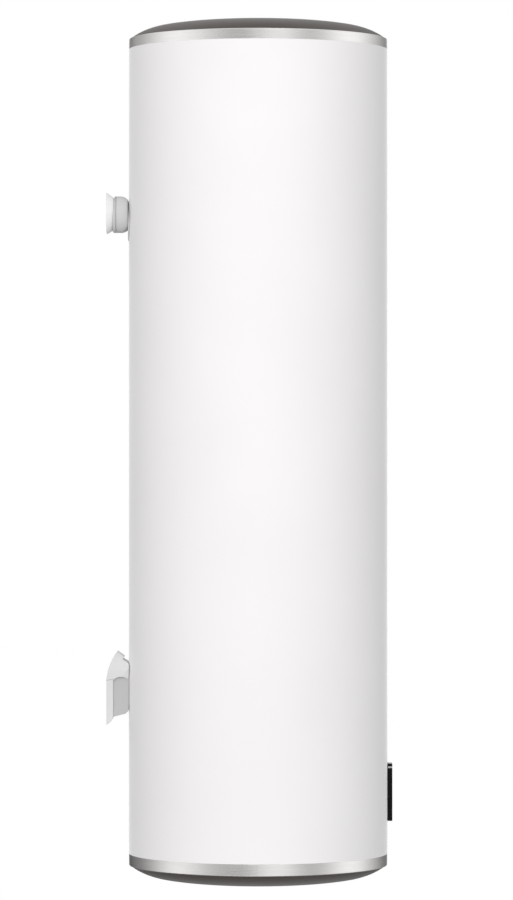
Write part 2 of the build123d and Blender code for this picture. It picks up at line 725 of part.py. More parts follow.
with BuildPart() as panel_bezel:
    hm = (PANEL_H0 + PANEL_H1) / 2
    with BuildSketch(front(YF, hm)):
        RectangleRounded(PANEL_W, PANEL_H1 - PANEL_H0, 3.0)
    extrude(amount=-20)
    fillet(panel_bezel.faces().sort_by(Axis.Y)[0].edges(), 0.7)
    with BuildSketch(level(PANEL_H0 - 5)):
        Circle(R + 0.9)
    extrude(amount=PANEL_H1 - PANEL_H0 + 10, mode=Mode.SUBTRACT)
    # hollow behind the 2.1 mm front wall
    with BuildSketch(front(YF + 2.1, 123.1)):
        RectangleRounded(25.6, 67.0, 1.5)
    extrude(amount=-20, mode=Mode.SUBTRACT)
    # seat and opening of the display window
    with BuildSketch(front(YF - 1, 139.4)):
        RectangleRounded(24.2, 33.2, 1.6)
    extrude(amount=-2.4, mode=Mode.SUBTRACT)
    with BuildSketch(front(YF - 1, 139.4)):
        RectangleRounded(20.6, 29.6, 1.0)
    extrude(amount=-10, mode=Mode.SUBTRACT)
    with BuildSketch(front(YF - 1, 0)):
        with Locations((0, KEYS["up_key"]), (0, KEYS["down_key"])):
            RectangleRounded(KEY_SIZE[0] + 0.6, KEY_SIZE[1] + 0.6, KEY_R + 0.3)
        with Locations((0, KEYS["power_key"])):
            Circle(KEY_POWER_R + 0.3)
    extrude(amount=-10, mode=Mode.SUBTRACT)
    # groove of the bright trim strip, round the front and both sides
    with BuildSketch(level(TRIM_H0)):
        with Locations((0, YF + 5)):
            Rectangle(PANEL_W + 10, 30)
        with Locations((0, YF + 0.8 + 10)):
            Rectangle(PANEL_W - 1.6, 20, mode=Mode.SUBTRACT)
    extrude(amount=TRIM_H1 - TRIM_H0, mode=Mode.SUBTRACT)
save(panel_bezel, "panel_bezel")

with BuildPart() as panel_trim:
    with BuildSketch(level(TRIM_H0 + 0.03)):
        with Locations((0, YF + 5)):
            Rectangle(PANEL_W + 0.1, 10.1)
        with Locations((0, YF + 0.77 + 10)):
            Rectangle(PANEL_W - 1.54, 20, mode=Mode.SUBTRACT)
    extrude(amount=TRIM_H1 - TRIM_H0 - 0.06)
    fillet(panel_trim.edges().filter_by(Axis.Z).group_by(Axis.Y)[0], 0.6)
    with BuildSketch(level(TRIM_H0 - 5)):
        Circle(R + 0.9)
    extrude(amount=20, mode=Mode.SUBTRACT)
save(panel_trim, "panel_trim")

with BuildPart() as display_window:
    with BuildSketch(front(YF, 139.4)):
        RectangleRounded(24.0, 33.0, 1.5)
    extrude(amount=-1.35)
    fillet(display_window.faces().sort_by(Axis.Y)[0].edges(), 0.3)
save(display_window, "display_window")

with BuildPart() as display_module:
    with BuildSketch(front(YF + 1.5, 139.4)):
        Rectangle(19.6, 28.6)
    extrude(amount=-13.6)
save(display_module, "display_module")

with BuildPart() as display_board:
    with BuildSketch(front(-166.0, 126.5)):
        RectangleRounded(20.0, 56.0, 1.0)
    extrude(amount=-1.6)
save(display_board, "display_board")

with BuildPart() as key_switches:
    for h in KEYS.values():
        if h > 96:
            with BuildSketch(front(-169.4, h)):
                Rectangle(6.0, 6.0)
            extrude(amount=-3.35)
    with BuildSketch(front(-169.4, 101.6 - 2.0)):
        Rectangle(6.0, 2.0)
    extrude(amount=-3.35)
save(key_switches, "key_switches")

with BuildPart() as panel_carrier:
    # pocket behind the panel, let through the jacket into the foam
    with BuildSketch(front(-176.5, 126.5)):
        RectangleRounded(25.2, 61.2, 1.6)
    extrude(amount=-17.0)
    with BuildSketch(front(-177.5, 126.5)):
        RectangleRounded(22.2, 58.2, 0.8)
    extrude(amount=-16.5, mode=Mode.SUBTRACT)
save(panel_carrier, "panel_carrier")

with BuildPart() as panel_gasket:
    with BuildSketch(level(PANEL_H0 + 0.6)):
        Circle(R + 0.82)
        Circle(R + 0.06, mode=Mode.SUBTRACT)
    extrude(amount=PANEL_H1 - PANEL_H0 - 1.2)
    with BuildSketch(front(-190.0, (PANEL_H0 + PANEL_H1) / 2)):
        RectangleRounded(PANEL_W - 1.2, PANEL_H1 - PANEL_H0 - 1.2, 2.4)
        with Locations((0, 126.5 - (PANEL_H0 + PANEL_H1) / 2)):
            RectangleRounded(26.4, 62.4, 2.0, mode=Mode.SUBTRACT)
    extrude(amount=-40, mode=Mode.INTERSECT)
save(panel_gasket, "panel_gasket")


# push keys: a cap through the panel, a flange behind its wall and a stem towards the switch
with BuildPart() as up_key:
    with BuildSketch(front(YF - 0.25, KEYS["up_key"])):
        RectangleRounded(*KEY_SIZE, KEY_R)
    extrude(amount=-2.8)
    fillet(up_key.faces().sort_by(Axis.Y)[0].edges(), 0.35)
    with BuildSketch(front(YF + 2.4, KEYS["up_key"])):
        RectangleRounded(17.0, 8.8, 2.6)
    extrude(amount=-0.9)
    with BuildSketch(front(YF + 3.2, KEYS["up_key"])):
        Circle(1.8)
    extrude(amount=-8.4)
save(up_key, "up_key")

with BuildPart() as down_key:
    with BuildSketch(front(YF - 0.25, KEYS["down_key"])):
        RectangleRounded(*KEY_SIZE, KEY_R)
    extrude(amount=-2.8)
    fillet(down_key.faces().sort_by(Axis.Y)[0].edges(), 0.35)
    with BuildSketch(front(YF + 2.4, KEYS["down_key"])):
        RectangleRounded(17.0, 8.8, 2.6)
    extrude(amount=-0.9)
    with BuildSketch(front(YF + 3.2, KEYS["down_key"])):
        Circle(1.8)
    extrude(amount=-8.4)
save(down_key, "down_key")

with BuildPart() as power_key:
    with BuildSketch(front(YF - 0.25, KEYS["power_key"])):
        Circle(KEY_POWER_R)
    extrude(amount=-2.8)
    fillet(power_key.faces().sort_by(Axis.Y)[0].edges(), 0.35)
    with BuildSketch(front(YF + 2.4, KEYS["power_key"])):
        Circle(4.95)
    extrude(amount=-0.9)
    with BuildSketch(front(YF + 3.2, KEYS["power_key"] + 3.2)):
        Rectangle(3.2, 2.4)
    extrude(amount=-8.4)
save(power_key, "power_key")

# ================================================================ upper wall bracket
HR = H0 + DRUM_DZ
SHOULDER_R = ((-19.0 - DRUM_Y0) ** 2 + (DRUM_R - DRUM_RB) ** 2) / (2 * (DRUM_R - DRUM_RB))
SHOULDER_T = asin((-19.0 - DRUM_Y0) / SHOULDER_R) / 2
SHOULDER = (-19.0 - SHOULDER_R * sin(SHOULDER_T), DRUM_R - SHOULDER_R + SHOULDER_R * cos(SHOULDER_T))
with BuildPart() as hanger_drum:
    # long-round drum on the heater, open to the wall, with round shoulders at the back
    with BuildSketch(side()):
        with BuildLine():
            Polyline((-19.0, HR - DRUM_R), (-6.0, HR - DRUM_R), (-6.0, HR + DRUM_R), (-19.0, HR + DRUM_R))
            ThreePointArc((-19.0, HR + DRUM_R), (SHOULDER[0], HR + SHOULDER[1]), (DRUM_Y0, HR + DRUM_RB))
            Line((DRUM_Y0, HR + DRUM_RB), (DRUM_Y0, HR - DRUM_RB))
            ThreePointArc((DRUM_Y0, HR - DRUM_RB), (SHOULDER[0], HR - SHOULDER[1]), (-19.0, HR - DRUM_R))
        make_face()
    extrude(amount=DRUM_E, both=True)
    for e in (-DRUM_E, DRUM_E):
        with BuildSketch(side(e)):
            with BuildLine():
                Polyline((DRUM_Y0, HR), (-6.0, HR), (-6.0, HR + DRUM_R), (-19.0, HR + DRUM_R))
                ThreePointArc((-19.0, HR + DRUM_R), (SHOULDER[0], HR + SHOULDER[1]), (DRUM_Y0, HR + DRUM_RB))
                Line((DRUM_Y0, HR + DRUM_RB), (DRUM_Y0, HR))
            make_face()
        revolve(axis=Axis((e, 0, HR - H0), (0, 1, 0)))
    # leaning rim
    with BuildSketch(side()):
        with BuildLine():
            lean = (RIM_LOW - RIM_TOP) / (2 * DRUM_R)
            Polyline(
                (RIM_TOP - lean * 10.0, HR + DRUM_R + 10.0),
                (RIM_LOW + lean * 10.0, HR - DRUM_R - 10.0),
                (5.0, HR - DRUM_R - 10.0),
                (5.0, HR + DRUM_R + 10.0),
                close=True,
            )
        make_face()
    extrude(amount=70.0, both=True, mode=Mode.SUBTRACT)
    # fine groove behind the rolled rim
    with BuildSketch(back(-12.4, HR)):
        SlotOverall(2 * (DRUM_E + DRUM_R) + 10.0, 2 * DRUM_R + 10.0)
        SlotOverall(2 * (DRUM_E + DRUM_R) - 1.2, 2 * DRUM_R - 1.2, mode=Mode.SUBTRACT)
    extrude(amount=-1.0, mode=Mode.SUBTRACT)
    with BuildSketch(back(-5.0, HR)):
        SlotOverall(2 * (DRUM_E + DRUM_R) - 3.8, 2 * DRUM_R - 3.8)
    extrude(amount=-14.0, mode=Mode.SUBTRACT)
    with BuildSketch(back(-18.9, HR)):
        SlotOverall(2 * (DRUM_E + 16.5), 33.0)
    extrude(amount=DRUM_Y0 + 2.0 + 18.9, mode=Mode.SUBTRACT)
    with BuildSketch(back(0, H0 + BOLT_DZ)):
        with Locations((-BOLT_X, 0), (BOLT_X, 0)):
            Circle(4.4)
    extrude(amount=-60, mode=Mode.SUBTRACT)
save(hanger_drum, "hanger_drum")

with BuildPart() as hanger_wall_plate:
    # flared foot against the wall, with a collar that the drum drops over
    with BuildSketch(back(0, H0 + 0.5)):
        SlotOverall(2 * (DRUM_E + FOOT_R), 2 * FOOT_R)
    with BuildSketch(back(ROOT_Y, HR + 1.2)):
        SlotOverall(2 * (DRUM_E + ROOT_R), 2 * ROOT_R)
    loft()
    with BuildSketch(back(ROOT_Y + 0.1, HR)):
        SlotOverall(2 * (DRUM_E + COLLAR_R), 2 * COLLAR_R)
    extrude(amount=-6.0)
    # hollow towards the heater, leaving a 3 mm web on the wall
    with BuildSketch(back(-3.0, HR)):
        SlotOverall(2 * (DRUM_E + COLLAR_R) - 4.6, 2 * COLLAR_R - 4.6)
    extrude(amount=-30, mode=Mode.SUBTRACT)
    with BuildSketch(back(1.0, H0)):
        with Locations((-SLOT_X, 0), (SLOT_X, 0)):
            SlotOverall(SLOT_L, 2 * SLOT_R)
    extrude(amount=-10, mode=Mode.SUBTRACT)
save(hanger_wall_plate, "hanger_wall_plate")

with BuildPart() as hanger_pad:
    # oval spacer with an eased rim, between the drum's flat back and the round jacket
    with BuildSketch(back(DRUM_Y0 - 0.05, H0 + PAD_DZ)):
        SlotOverall(2 * (PAD_E + PAD_R), 2 * PAD_R)
    extrude(amount=-40)
    chamfer(hanger_pad.faces().sort_by(Axis.Y)[-1].edges(), 0.4)
    with BuildSketch(back(0, H0 + BOLT_DZ)):
        with Locations((-BOLT_X, 0), (BOLT_X, 0)):
            Circle(4.4)
    extrude(amount=-80, mode=Mode.SUBTRACT)
    with BuildSketch(level(800.0)):
        Circle(R + 0.05)
    extrude(amount=200, mode=Mode.SUBTRACT)
save(hanger_pad, "hanger_pad")

with BuildPart() as hanger_bolts:
    with BuildSketch(back(DRUM_Y0 + 2.05, H0 + BOLT_DZ)):
        with Locations((-BOLT_X, 0), (BOLT_X, 0)):
            RegularPolygon(6.5, 6, major_radius=False)
    extrude(amount=5.3)
    with BuildSketch(back(DRUM_Y0 + 3.0, H0 + BOLT_DZ)):
        with Locations((-BOLT_X, 0), (BOLT_X, 0)):
            Circle(3.95)
    extrude(amount=-24.0)
save(hanger_bolts, "hanger_bolts")


with BuildPart() as tank_straps:
    # saddles welded to the vessel, each with two threaded bosses for the bracket's bolts
    for hs in (H0 + BOLT_DZ, LOW_BOLT):
        with BuildSketch(level(hs - 23.0)):
            Circle(R_T + 2.1)
            Circle(R_T + 0.1, mode=Mode.SUBTRACT)
            with Locations((0, 250.0 + 137.0)):
                Rectangle(104.0, 500.0, mode=Mode.INTERSECT)
        extrude(amount=46.0)
        with BuildSketch(back(-(R + WALL_GAP) + 172.0, hs)):
            with Locations((-BOLT_X, 0), (BOLT_X, 0)):
                Circle(11.0)
        extrude(amount=-22.0)
    with BuildSketch(level(100.0)):
        Circle(R_T + 0.1)
        Circle(400.0)
        Circle(R_IN - 0.3, mode=Mode.SUBTRACT)
        Circle(R_T + 0.1)
    extrude(amount=1000, mode=Mode.SUBTRACT)
    for hs in (H0 + BOLT_DZ, LOW_BOLT):
        with BuildSketch(back(0, hs)):
            with Locations((-BOLT_X, 0), (BOLT_X, 0)):
                Circle(4.05)
        extrude(amount=-54.0, mode=Mode.SUBTRACT)
save(tank_straps, "tank_straps")

# ================================================================ lower wall bracket
CORE = [(-9.25, 229.0), (-26.2, 233.3), (-30.5, 238.0), (-40.0, 240.0), (-40.0, 292.0), (-26.0, 295.6), (-9.25, 295.6)]
with BuildPart() as lower_bracket_body:
    # block under the hood, its back hollowed to the round of the jacket
    with BuildSketch(side()):
        with BuildLine():
            Polyline(*CORE, close=True)
        make_face()
    extrude(amount=CORE_X, both=True)
    with BuildSketch(level(150.0)):
        Circle(R + LINER + 0.15)
    extrude(amount=250, mode=Mode.SUBTRACT)
    with BuildSketch(back(-9.25, 265.0)):
        RectangleRounded(2 * CORE_X - 5.0, 55.0, 4.0)
    extrude(amount=CORE_FLOOR + 9.25, mode=Mode.SUBTRACT)
    with BuildSketch(back(0, LOW_BOLT)):
        with Locations((-BOLT_X, 0), (BOLT_X, 0)):
            Circle(4.4)
    extrude(amount=-60, mode=Mode.SUBTRACT)
save(lower_bracket_body, "lower_bracket_body")

with BuildPart() as lower_wall_shoe:
    # plate against the wall with a curved hood over the bracket's body
    with BuildSketch(side()):
        with BuildLine():
            Polyline((-6.0, 222.4), (0, 218.3), (0, 280.2))
            ThreePointArc((0, 280.2), (-5.9, 302.4), (-14.8, 318.0))
            Polyline(
                (-14.8, 318.0),
                (-24.2, 310.2),
                (-22.0, 307.2),
                (-28.2, 303.4),
                (-31.4, 300.6),
                (-40.0, 298.0),
                (-40.0, 277.0),
                (-30.2, 278.0),
            )
            ThreePointArc((-30.2, 278.0), (-19.6, 283.4), (-9.2, 278.0))
            Line((-9.2, 278.0), (-9.2, 229.9))
            ThreePointArc((-9.2, 229.9), (-8.2, 225.8), (-6.0, 222.4))
        make_face()
    extrude(amount=SHOE_X, both=True)
    # the hood is arched
    with BuildSketch(back(1.0, 288.0)):
        with BuildLine():
            Polyline((-SHOE_X, 2.0), (-SHOE_X, -80.0), (SHOE_X, -80.0), (SHOE_X, 2.0))
            ThreePointArc((SHOE_X, 2.0), (0, 30.3), (-SHOE_X, 2.0))
        make_face()
    extrude(amount=-46.0, mode=Mode.INTERSECT)
    with BuildSketch(level(150.0)):
        Circle(R + LINER + 0.15)
    extrude(amount=250, mode=Mode.SUBTRACT)
    for e in (-1, 1):
        # the plate stands a little inside the hood
        with BuildSketch(side(e * (SHOE_X + 0.5))):
            with BuildLine():
                Polyline((1.0, 278.5), (-9.6, 280.6), (-9.6, 215.0), (1.0, 215.0), close=True)
            make_face()
        extrude(amount=-e * 1.3, mode=Mode.SUBTRACT)
        # the hood's rear lower corner is cut off at a slant
        with BuildSketch(Plane(origin=(e * SHOE_X, -17.2, 278.2 - H0), x_dir=(-e, 0, 0), z_dir=(0, -0.534, 0.845))):
            with BuildLine():
                Polyline((0, 0), (-3.0, 0), (-3.0, e * 16.0), (5.0, e * 11.0), close=True)
            make_face()
        extrude(amount=38.0, mode=Mode.SUBTRACT)
    with BuildSketch(side()):
        with BuildLine():
            Polyline((-8.9, 226.0), (-44.0, 226.0), (-44.0, 296.4), (-8.9, 296.4), close=True)
        make_face()
    extrude(amount=CORE_X + 0.4, both=True, mode=Mode.SUBTRACT)
    # hollow behind the 3 mm web
    with BuildSketch(back(-3.0, 258.0)):
        RectangleRounded(46.0, 44.0, 4.0)
    extrude(amount=-20, mode=Mode.SUBTRACT)
    with BuildSketch(back(1.0, LOW_H)):
        with Locations((-LSLOT_X, 0), (LSLOT_X, 0)):
            SlotOverall(LSLOT_L, 2 * LSLOT_R)
    extrude(amount=-10, mode=Mode.SUBTRACT)
save(lower_wall_shoe, "lower_wall_shoe")

with BuildPart() as lower_pad:
    # thin liner between the body's hollow back and the jacket
    with BuildSketch(back(-10.0, 267.0)):
        RectangleRounded(49.0, 54.0, 8.0)
    extrude(amount=-40)
    with BuildSketch(level(150.0)):
        Circle(R + 60.0)
        Circle(R + LINER + 0.05, mode=Mode.SUBTRACT)
    extrude(amount=250, mode=Mode.SUBTRACT)
    with BuildSketch(level(150.0)):
        Circle(R + 0.05)
    extrude(amount=250, mode=Mode.SUBTRACT)
    with BuildSketch(back(0, LOW_BOLT)):
        with Locations((-BOLT_X, 0), (BOLT_X, 0)):
            Circle(4.4)
    extrude(amount=-80, mode=Mode.SUBTRACT)
save(lower_pad, "lower_pad")

with BuildPart() as lower_bolts:
    with BuildSketch(back(CORE_FLOOR + 0.05, LOW_BOLT)):
        with Locations((-BOLT_X, 0), (BOLT_X, 0)):
            RegularPolygon(6.5, 6, major_radius=False)
    extrude(amount=5.3)
    with BuildSketch(back(CORE_FLOOR + 0.8, LOW_BOLT)):
        with Locations((-BOLT_X, 0), (BOLT_X, 0)):
            Circle(3.95)
    extrude(amount=-24.0)
save(lower_bolts, "lower_bolts")

# ================================================================ insulation
with BuildPart() as insulation_foam:
    with BuildSketch(section()):
        with BuildLine():
            Polyline((0, 89.6), (R_IN - 0.3, 89.6), (R_IN - 0.3, 1121.0), (173.8, 1121.0), (173.8, 1145.5), (0, 1145.5), close=True)
        make_face()
    revolve(axis=AXIS)
    # room for the vessel
    with BuildSketch(section()):
        low = dish(R_T + 0.3, 32.3, 500.0, H_T0, -1)
        top = dish(R_T + 0.3, 32.3, 500.0, H_T1, 1)
        with BuildLine():
            ThreePointArc(*low[0:3])
            ThreePointArc(*low[2:5])
            Line(low[4], top[4])
            ThreePointArc(*top[0:3])
            ThreePointArc(*top[2:5])
            Line(top[0], low[0])
        make_face()
    revolve(axis=AXIS, mode=Mode.SUBTRACT)
    with BuildSketch(level(80.0)):
        Circle(93.0)
    extrude(amount=20.0, mode=Mode.SUBTRACT)
    # panel carrier and its cable
    with BuildSketch(front(-180.0, 126.5)):
        Rectangle(26.0, 62.0)
    extrude(amount=-21.5, mode=Mode.SUBTRACT)
    with BuildSketch(level(85.0)):
        with Locations((0, -164.0)):
            Circle(3.5)
    extrude(amount=15.0, mode=Mode.SUBTRACT)
    # the two straps and their bolts
    for hs in (H0 + BOLT_DZ, LOW_BOLT):
        with BuildSketch(level(hs - 23.6)):
            Circle(R_T + 2.5)
            with Locations((0, 250.0 + 136.0)):
                Rectangle(106.0, 500.0, mode=Mode.INTERSECT)
        extrude(amount=47.2, mode=Mode.SUBTRACT)
        with BuildSketch(back(-(R + WALL_GAP) + 185.0, hs)):
            with Locations((-BOLT_X, 0), (BOLT_X, 0)):
                Circle(11.4)
        extrude(amount=-45.0, mode=Mode.SUBTRACT)
save(insulation_foam, "insulation_foam")
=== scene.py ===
import json
import math

import bmesh
import bpy
from mathutils import Matrix, Vector


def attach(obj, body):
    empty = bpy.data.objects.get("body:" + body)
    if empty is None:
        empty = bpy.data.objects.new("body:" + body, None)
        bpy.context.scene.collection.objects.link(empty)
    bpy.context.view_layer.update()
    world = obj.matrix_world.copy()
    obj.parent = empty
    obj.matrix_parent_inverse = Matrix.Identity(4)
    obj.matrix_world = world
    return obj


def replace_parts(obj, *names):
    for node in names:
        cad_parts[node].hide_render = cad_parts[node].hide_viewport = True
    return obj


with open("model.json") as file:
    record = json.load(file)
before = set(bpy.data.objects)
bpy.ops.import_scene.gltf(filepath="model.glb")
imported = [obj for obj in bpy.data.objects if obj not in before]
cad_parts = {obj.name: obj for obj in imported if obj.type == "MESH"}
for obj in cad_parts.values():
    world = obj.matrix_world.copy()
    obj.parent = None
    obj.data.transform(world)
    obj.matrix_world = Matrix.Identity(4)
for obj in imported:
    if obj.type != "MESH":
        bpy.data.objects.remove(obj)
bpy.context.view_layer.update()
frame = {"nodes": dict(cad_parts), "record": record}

NODES = frame["nodes"]

# ---------------------------------------------------------------- the part's own dimensions, in metres
MM = 0.001
R = 0.1765
YA = -0.2064
H0 = 0.9144
YF = YA - 0.1829


def Z(h_mm):
    return h_mm * MM - H0


# ================================================================ node helpers
class Tree:
    """A material and short calls for its nodes."""

    def __init__(self, name):
        self.mat = bpy.data.materials.new(name)
        self.mat.use_nodes = True
        self.nt = self.mat.node_tree
        self.nt.nodes.clear()
        self.out = self.nt.nodes.new("ShaderNodeOutputMaterial")
        self.bsdf = self.nt.nodes.new("ShaderNodeBsdfPrincipled")
        self.link(self.bsdf.outputs[0], self.out.inputs[0])
        self._obj = None

    def new(self, kind, **props):
        n = self.nt.nodes.new(kind)
        for k, v in props.items():
            setattr(n, k, v)
        return n

    def link(self, a, b):
        self.nt.links.new(a, b)

    def set(self, **values):
        for k, v in values.items():
            self.bsdf.inputs[k.replace("_", " ")].default_value = v

    def obj(self):
        if self._obj is None:
            self._obj = self.new("ShaderNodeTexCoord")
        return self._obj.outputs["Object"]

    def math(self, op, a, b=None, clamp=False):
        n = self.new("ShaderNodeMath", operation=op, use_clamp=clamp)
        for i, v in enumerate((a, b)):
            if v is None:
                continue
            if isinstance(v, (int, float)):
                n.inputs[i].default_value = v
            else:
                self.link(v, n.inputs[i])
        return n.outputs[0]

    def mapping(self, vec, scale=(1, 1, 1), rot=(0, 0, 0), loc=(0, 0, 0)):
        n = self.new("ShaderNodeMapping")
        n.inputs["Scale"].default_value = scale
        n.inputs["Rotation"].default_value = rot
        n.inputs["Location"].default_value = loc
        self.link(vec, n.inputs["Vector"])
        return n.outputs[0]

    def noise(self, vec, scale, detail=2.0, rough=0.5, dist=0.0):
        n = self.new("ShaderNodeTexNoise")
        n.inputs["Scale"].default_value = scale
        n.inputs["Detail"].default_value = detail
        n.inputs["Roughness"].default_value = rough
        n.inputs["Distortion"].default_value = dist
        self.link(vec, n.inputs["Vector"])
        return n.outputs["Fac"]

    def ramp(self, fac, stops):
        n = self.new("ShaderNodeValToRGB")
        e = n.color_ramp.elements
        while len(e) < len(stops):
            e.new(0.5)
        for el, (p, c) in zip(e, stops):
            el.position = p
            el.color = (c, c, c, 1) if isinstance(c, (int, float)) else (*c, 1)
        self.link(fac, n.inputs[0])
        return n.outputs[0]

    def span(self, fac, lo, hi, a, b):
        n = self.new("ShaderNodeMapRange")
        n.inputs["From Min"].default_value = lo
        n.inputs["From Max"].default_value = hi
        n.inputs["To Min"].default_value = a
        n.inputs["To Max"].default_value = b
        self.link(fac, n.inputs["Value"])
        return n.outputs[0]

    def bump(self, height, distance, strength=1.0, normal=None):
        n = self.new("ShaderNodeBump")
        n.inputs["Distance"].default_value = distance
        n.inputs["Strength"].default_value = strength
        self.link(height, n.inputs["Height"])
        if normal is not None:
            self.link(normal, n.inputs["Normal"])
        return n.outputs[0]

    def cyl(self):
        """Coordinates rolled off the heater: arc length, height, radius."""
        sep = self.new("ShaderNodeSeparateXYZ")
        self.link(self.obj(), sep.inputs[0])
        y = self.math("SUBTRACT", sep.outputs[1], YA)
        ang = self.math("ARCTAN2", y, sep.outputs[0])
        arc = self.math("MULTIPLY", ang, R)
        r = self.math("SQRT", self.math("ADD", self.math("MULTIPLY", y, y), self.math("MULTIPLY", sep.outputs[0], sep.outputs[0])))
        comb = self.new("ShaderNodeCombineXYZ")
        self.link(arc, comb.inputs[0])
        self.link(sep.outputs[2], comb.inputs[1])
        self.link(r, comb.inputs[2])
        return comb.outputs[0]


def mix_color(t, fac, a, b):
    n = t.new("ShaderNodeMix", data_type="RGBA")
    n.inputs["A"].default_value = (*a, 1)
    n.inputs["B"].default_value = (*b, 1)
    t.link(fac, n.inputs["Factor"])
    return n.outputs["Result"]


# ================================================================ materials
def paint(name, lo, hi, rough, peel, peel_h, spec=0.5, sheen=0.0, fine=False):
    """Sprayed and baked paint on sheet steel: slight orange peel, uneven gloss, faint tone drift."""
    t = Tree(name)
    big = t.noise(t.obj(), 6.0, 3.0, 0.55)
    t.link(mix_color(t, t.span(big, 0.3, 0.7, 0, 1), lo, hi), t.bsdf.inputs["Base Color"])
    mid = t.noise(t.obj(), 60.0, 3.0, 0.6)
    t.link(t.span(mid, 0.3, 0.7, rough - 0.03, rough + 0.04), t.bsdf.inputs["Roughness"])
    grain = t.noise(t.obj(), peel, 2.0, 0.5)
    nrm = t.bump(grain, peel_h, 0.5)
    if fine:
        nrm = t.bump(t.noise(t.obj(), peel * 4, 2.0, 0.6), peel_h * 0.5, 0.5, nrm)
    t.link(nrm, t.bsdf.inputs["Normal"])
    t.set(IOR=1.5, Specular_IOR_Level=spec)
    if sheen:
        t.set(Sheen_Weight=sheen, Sheen_Roughness=0.27)
    return t.mat


def brushed_ring(name):
    """Steel brushed round the ring, with broken lines, slight tint drift and a few deeper strokes."""
    t = Tree(name)
    c = t.cyl()
    lines = t.noise(t.mapping(c, (9.0, 5200.0, 900.0)), 1.0, 3.0, 0.6)
    strokes = t.noise(t.mapping(c, (22.0, 1500.0, 500.0), loc=(3.1, 0.7, 0.2)), 1.0, 2.0, 0.5)
    drift = t.noise(t.mapping(c, (7.0, 40.0, 1.0)), 1.0, 2.0, 0.5)
    t.link(mix_color(t, t.span(lines, 0.3, 0.7, 0, 1), (0.812, 0.795, 0.783), (0.902, 0.886, 0.876)), t.bsdf.inputs["Base Color"])
    rough = t.math("ADD", t.span(strokes, 0.25, 0.75, 0.24, 0.34), t.span(drift, 0.3, 0.7, -0.02, 0.03))
    t.link(rough, t.bsdf.inputs["Roughness"])
    t.link(t.bump(lines, 0.000012, 0.6), t.bsdf.inputs["Normal"])
    t.set(Metallic=1.0, Anisotropic=0.7, Anisotropic_Rotation=0.25)
    tan = t.new("ShaderNodeTangent", direction_type="RADIAL", axis="Z")
    t.link(tan.outputs[0], t.bsdf.inputs["Tangent"])
    return t.mat


def plastic(name, lo, hi, rough, grain, grain_h, spec=0.5):
    """Moulded plastic: even tone with fine spark-eroded grain and slight flow marks."""
    t = Tree(name)
    flow = t.noise(t.obj(), 14.0, 3.0, 0.6, 0.4)
    t.link(mix_color(t, t.span(flow, 0.3, 0.7, 0, 1), lo, hi), t.bsdf.inputs["Base Color"])
    speck = t.noise(t.obj(), grain, 2.0, 0.6)
    t.link(t.span(speck, 0.3, 0.7, rough - 0.05, rough + 0.06), t.bsdf.inputs["Roughness"])
    if grain_h:
        t.link(t.bump(speck, grain_h, 0.6), t.bsdf.inputs["Normal"])
    t.set(IOR=1.5, Specular_IOR_Level=spec)
    return t.mat


def metal(name, lo, hi, rough, scale=(300.0, 300.0, 300.0), h=0.000015, aniso=0.0):
    t = Tree(name)
    n = t.noise(t.mapping(t.obj(), scale), 1.0, 4.0, 0.6)
    blotch = t.noise(t.obj(), 45.0, 3.0, 0.6)
    t.link(mix_color(t, t.span(blotch, 0.3, 0.7, 0, 1), lo, hi), t.bsdf.inputs["Base Color"])
    t.link(t.math("ADD", t.span(n, 0.3, 0.7, rough - 0.06, rough + 0.06), t.span(blotch, 0.3, 0.7, -0.03, 0.03)), t.bsdf.inputs["Roughness"])
    t.link(t.bump(n, h, 0.6), t.bsdf.inputs["Normal"])
    t.set(Metallic=1.0, Anisotropic=aniso)
    return t.mat


def foam(name):
    t = Tree(name)
    v = t.new("ShaderNodeTexVoronoi", feature="F1")
    v.inputs["Scale"].default_value = 420.0
    t.link(t.obj(), v.inputs["Vector"])
    t.link(mix_color(t, t.span(v.outputs["Distance"], 0.1, 0.7, 0, 1), (0.62, 0.46, 0.17), (0.80, 0.66, 0.33)), t.bsdf.inputs["Base Color"])
    t.link(t.bump(v.outputs["Distance"], 0.0008, 0.8), t.bsdf.inputs["Normal"])
    t.set(Roughness=0.85)
    return t.mat


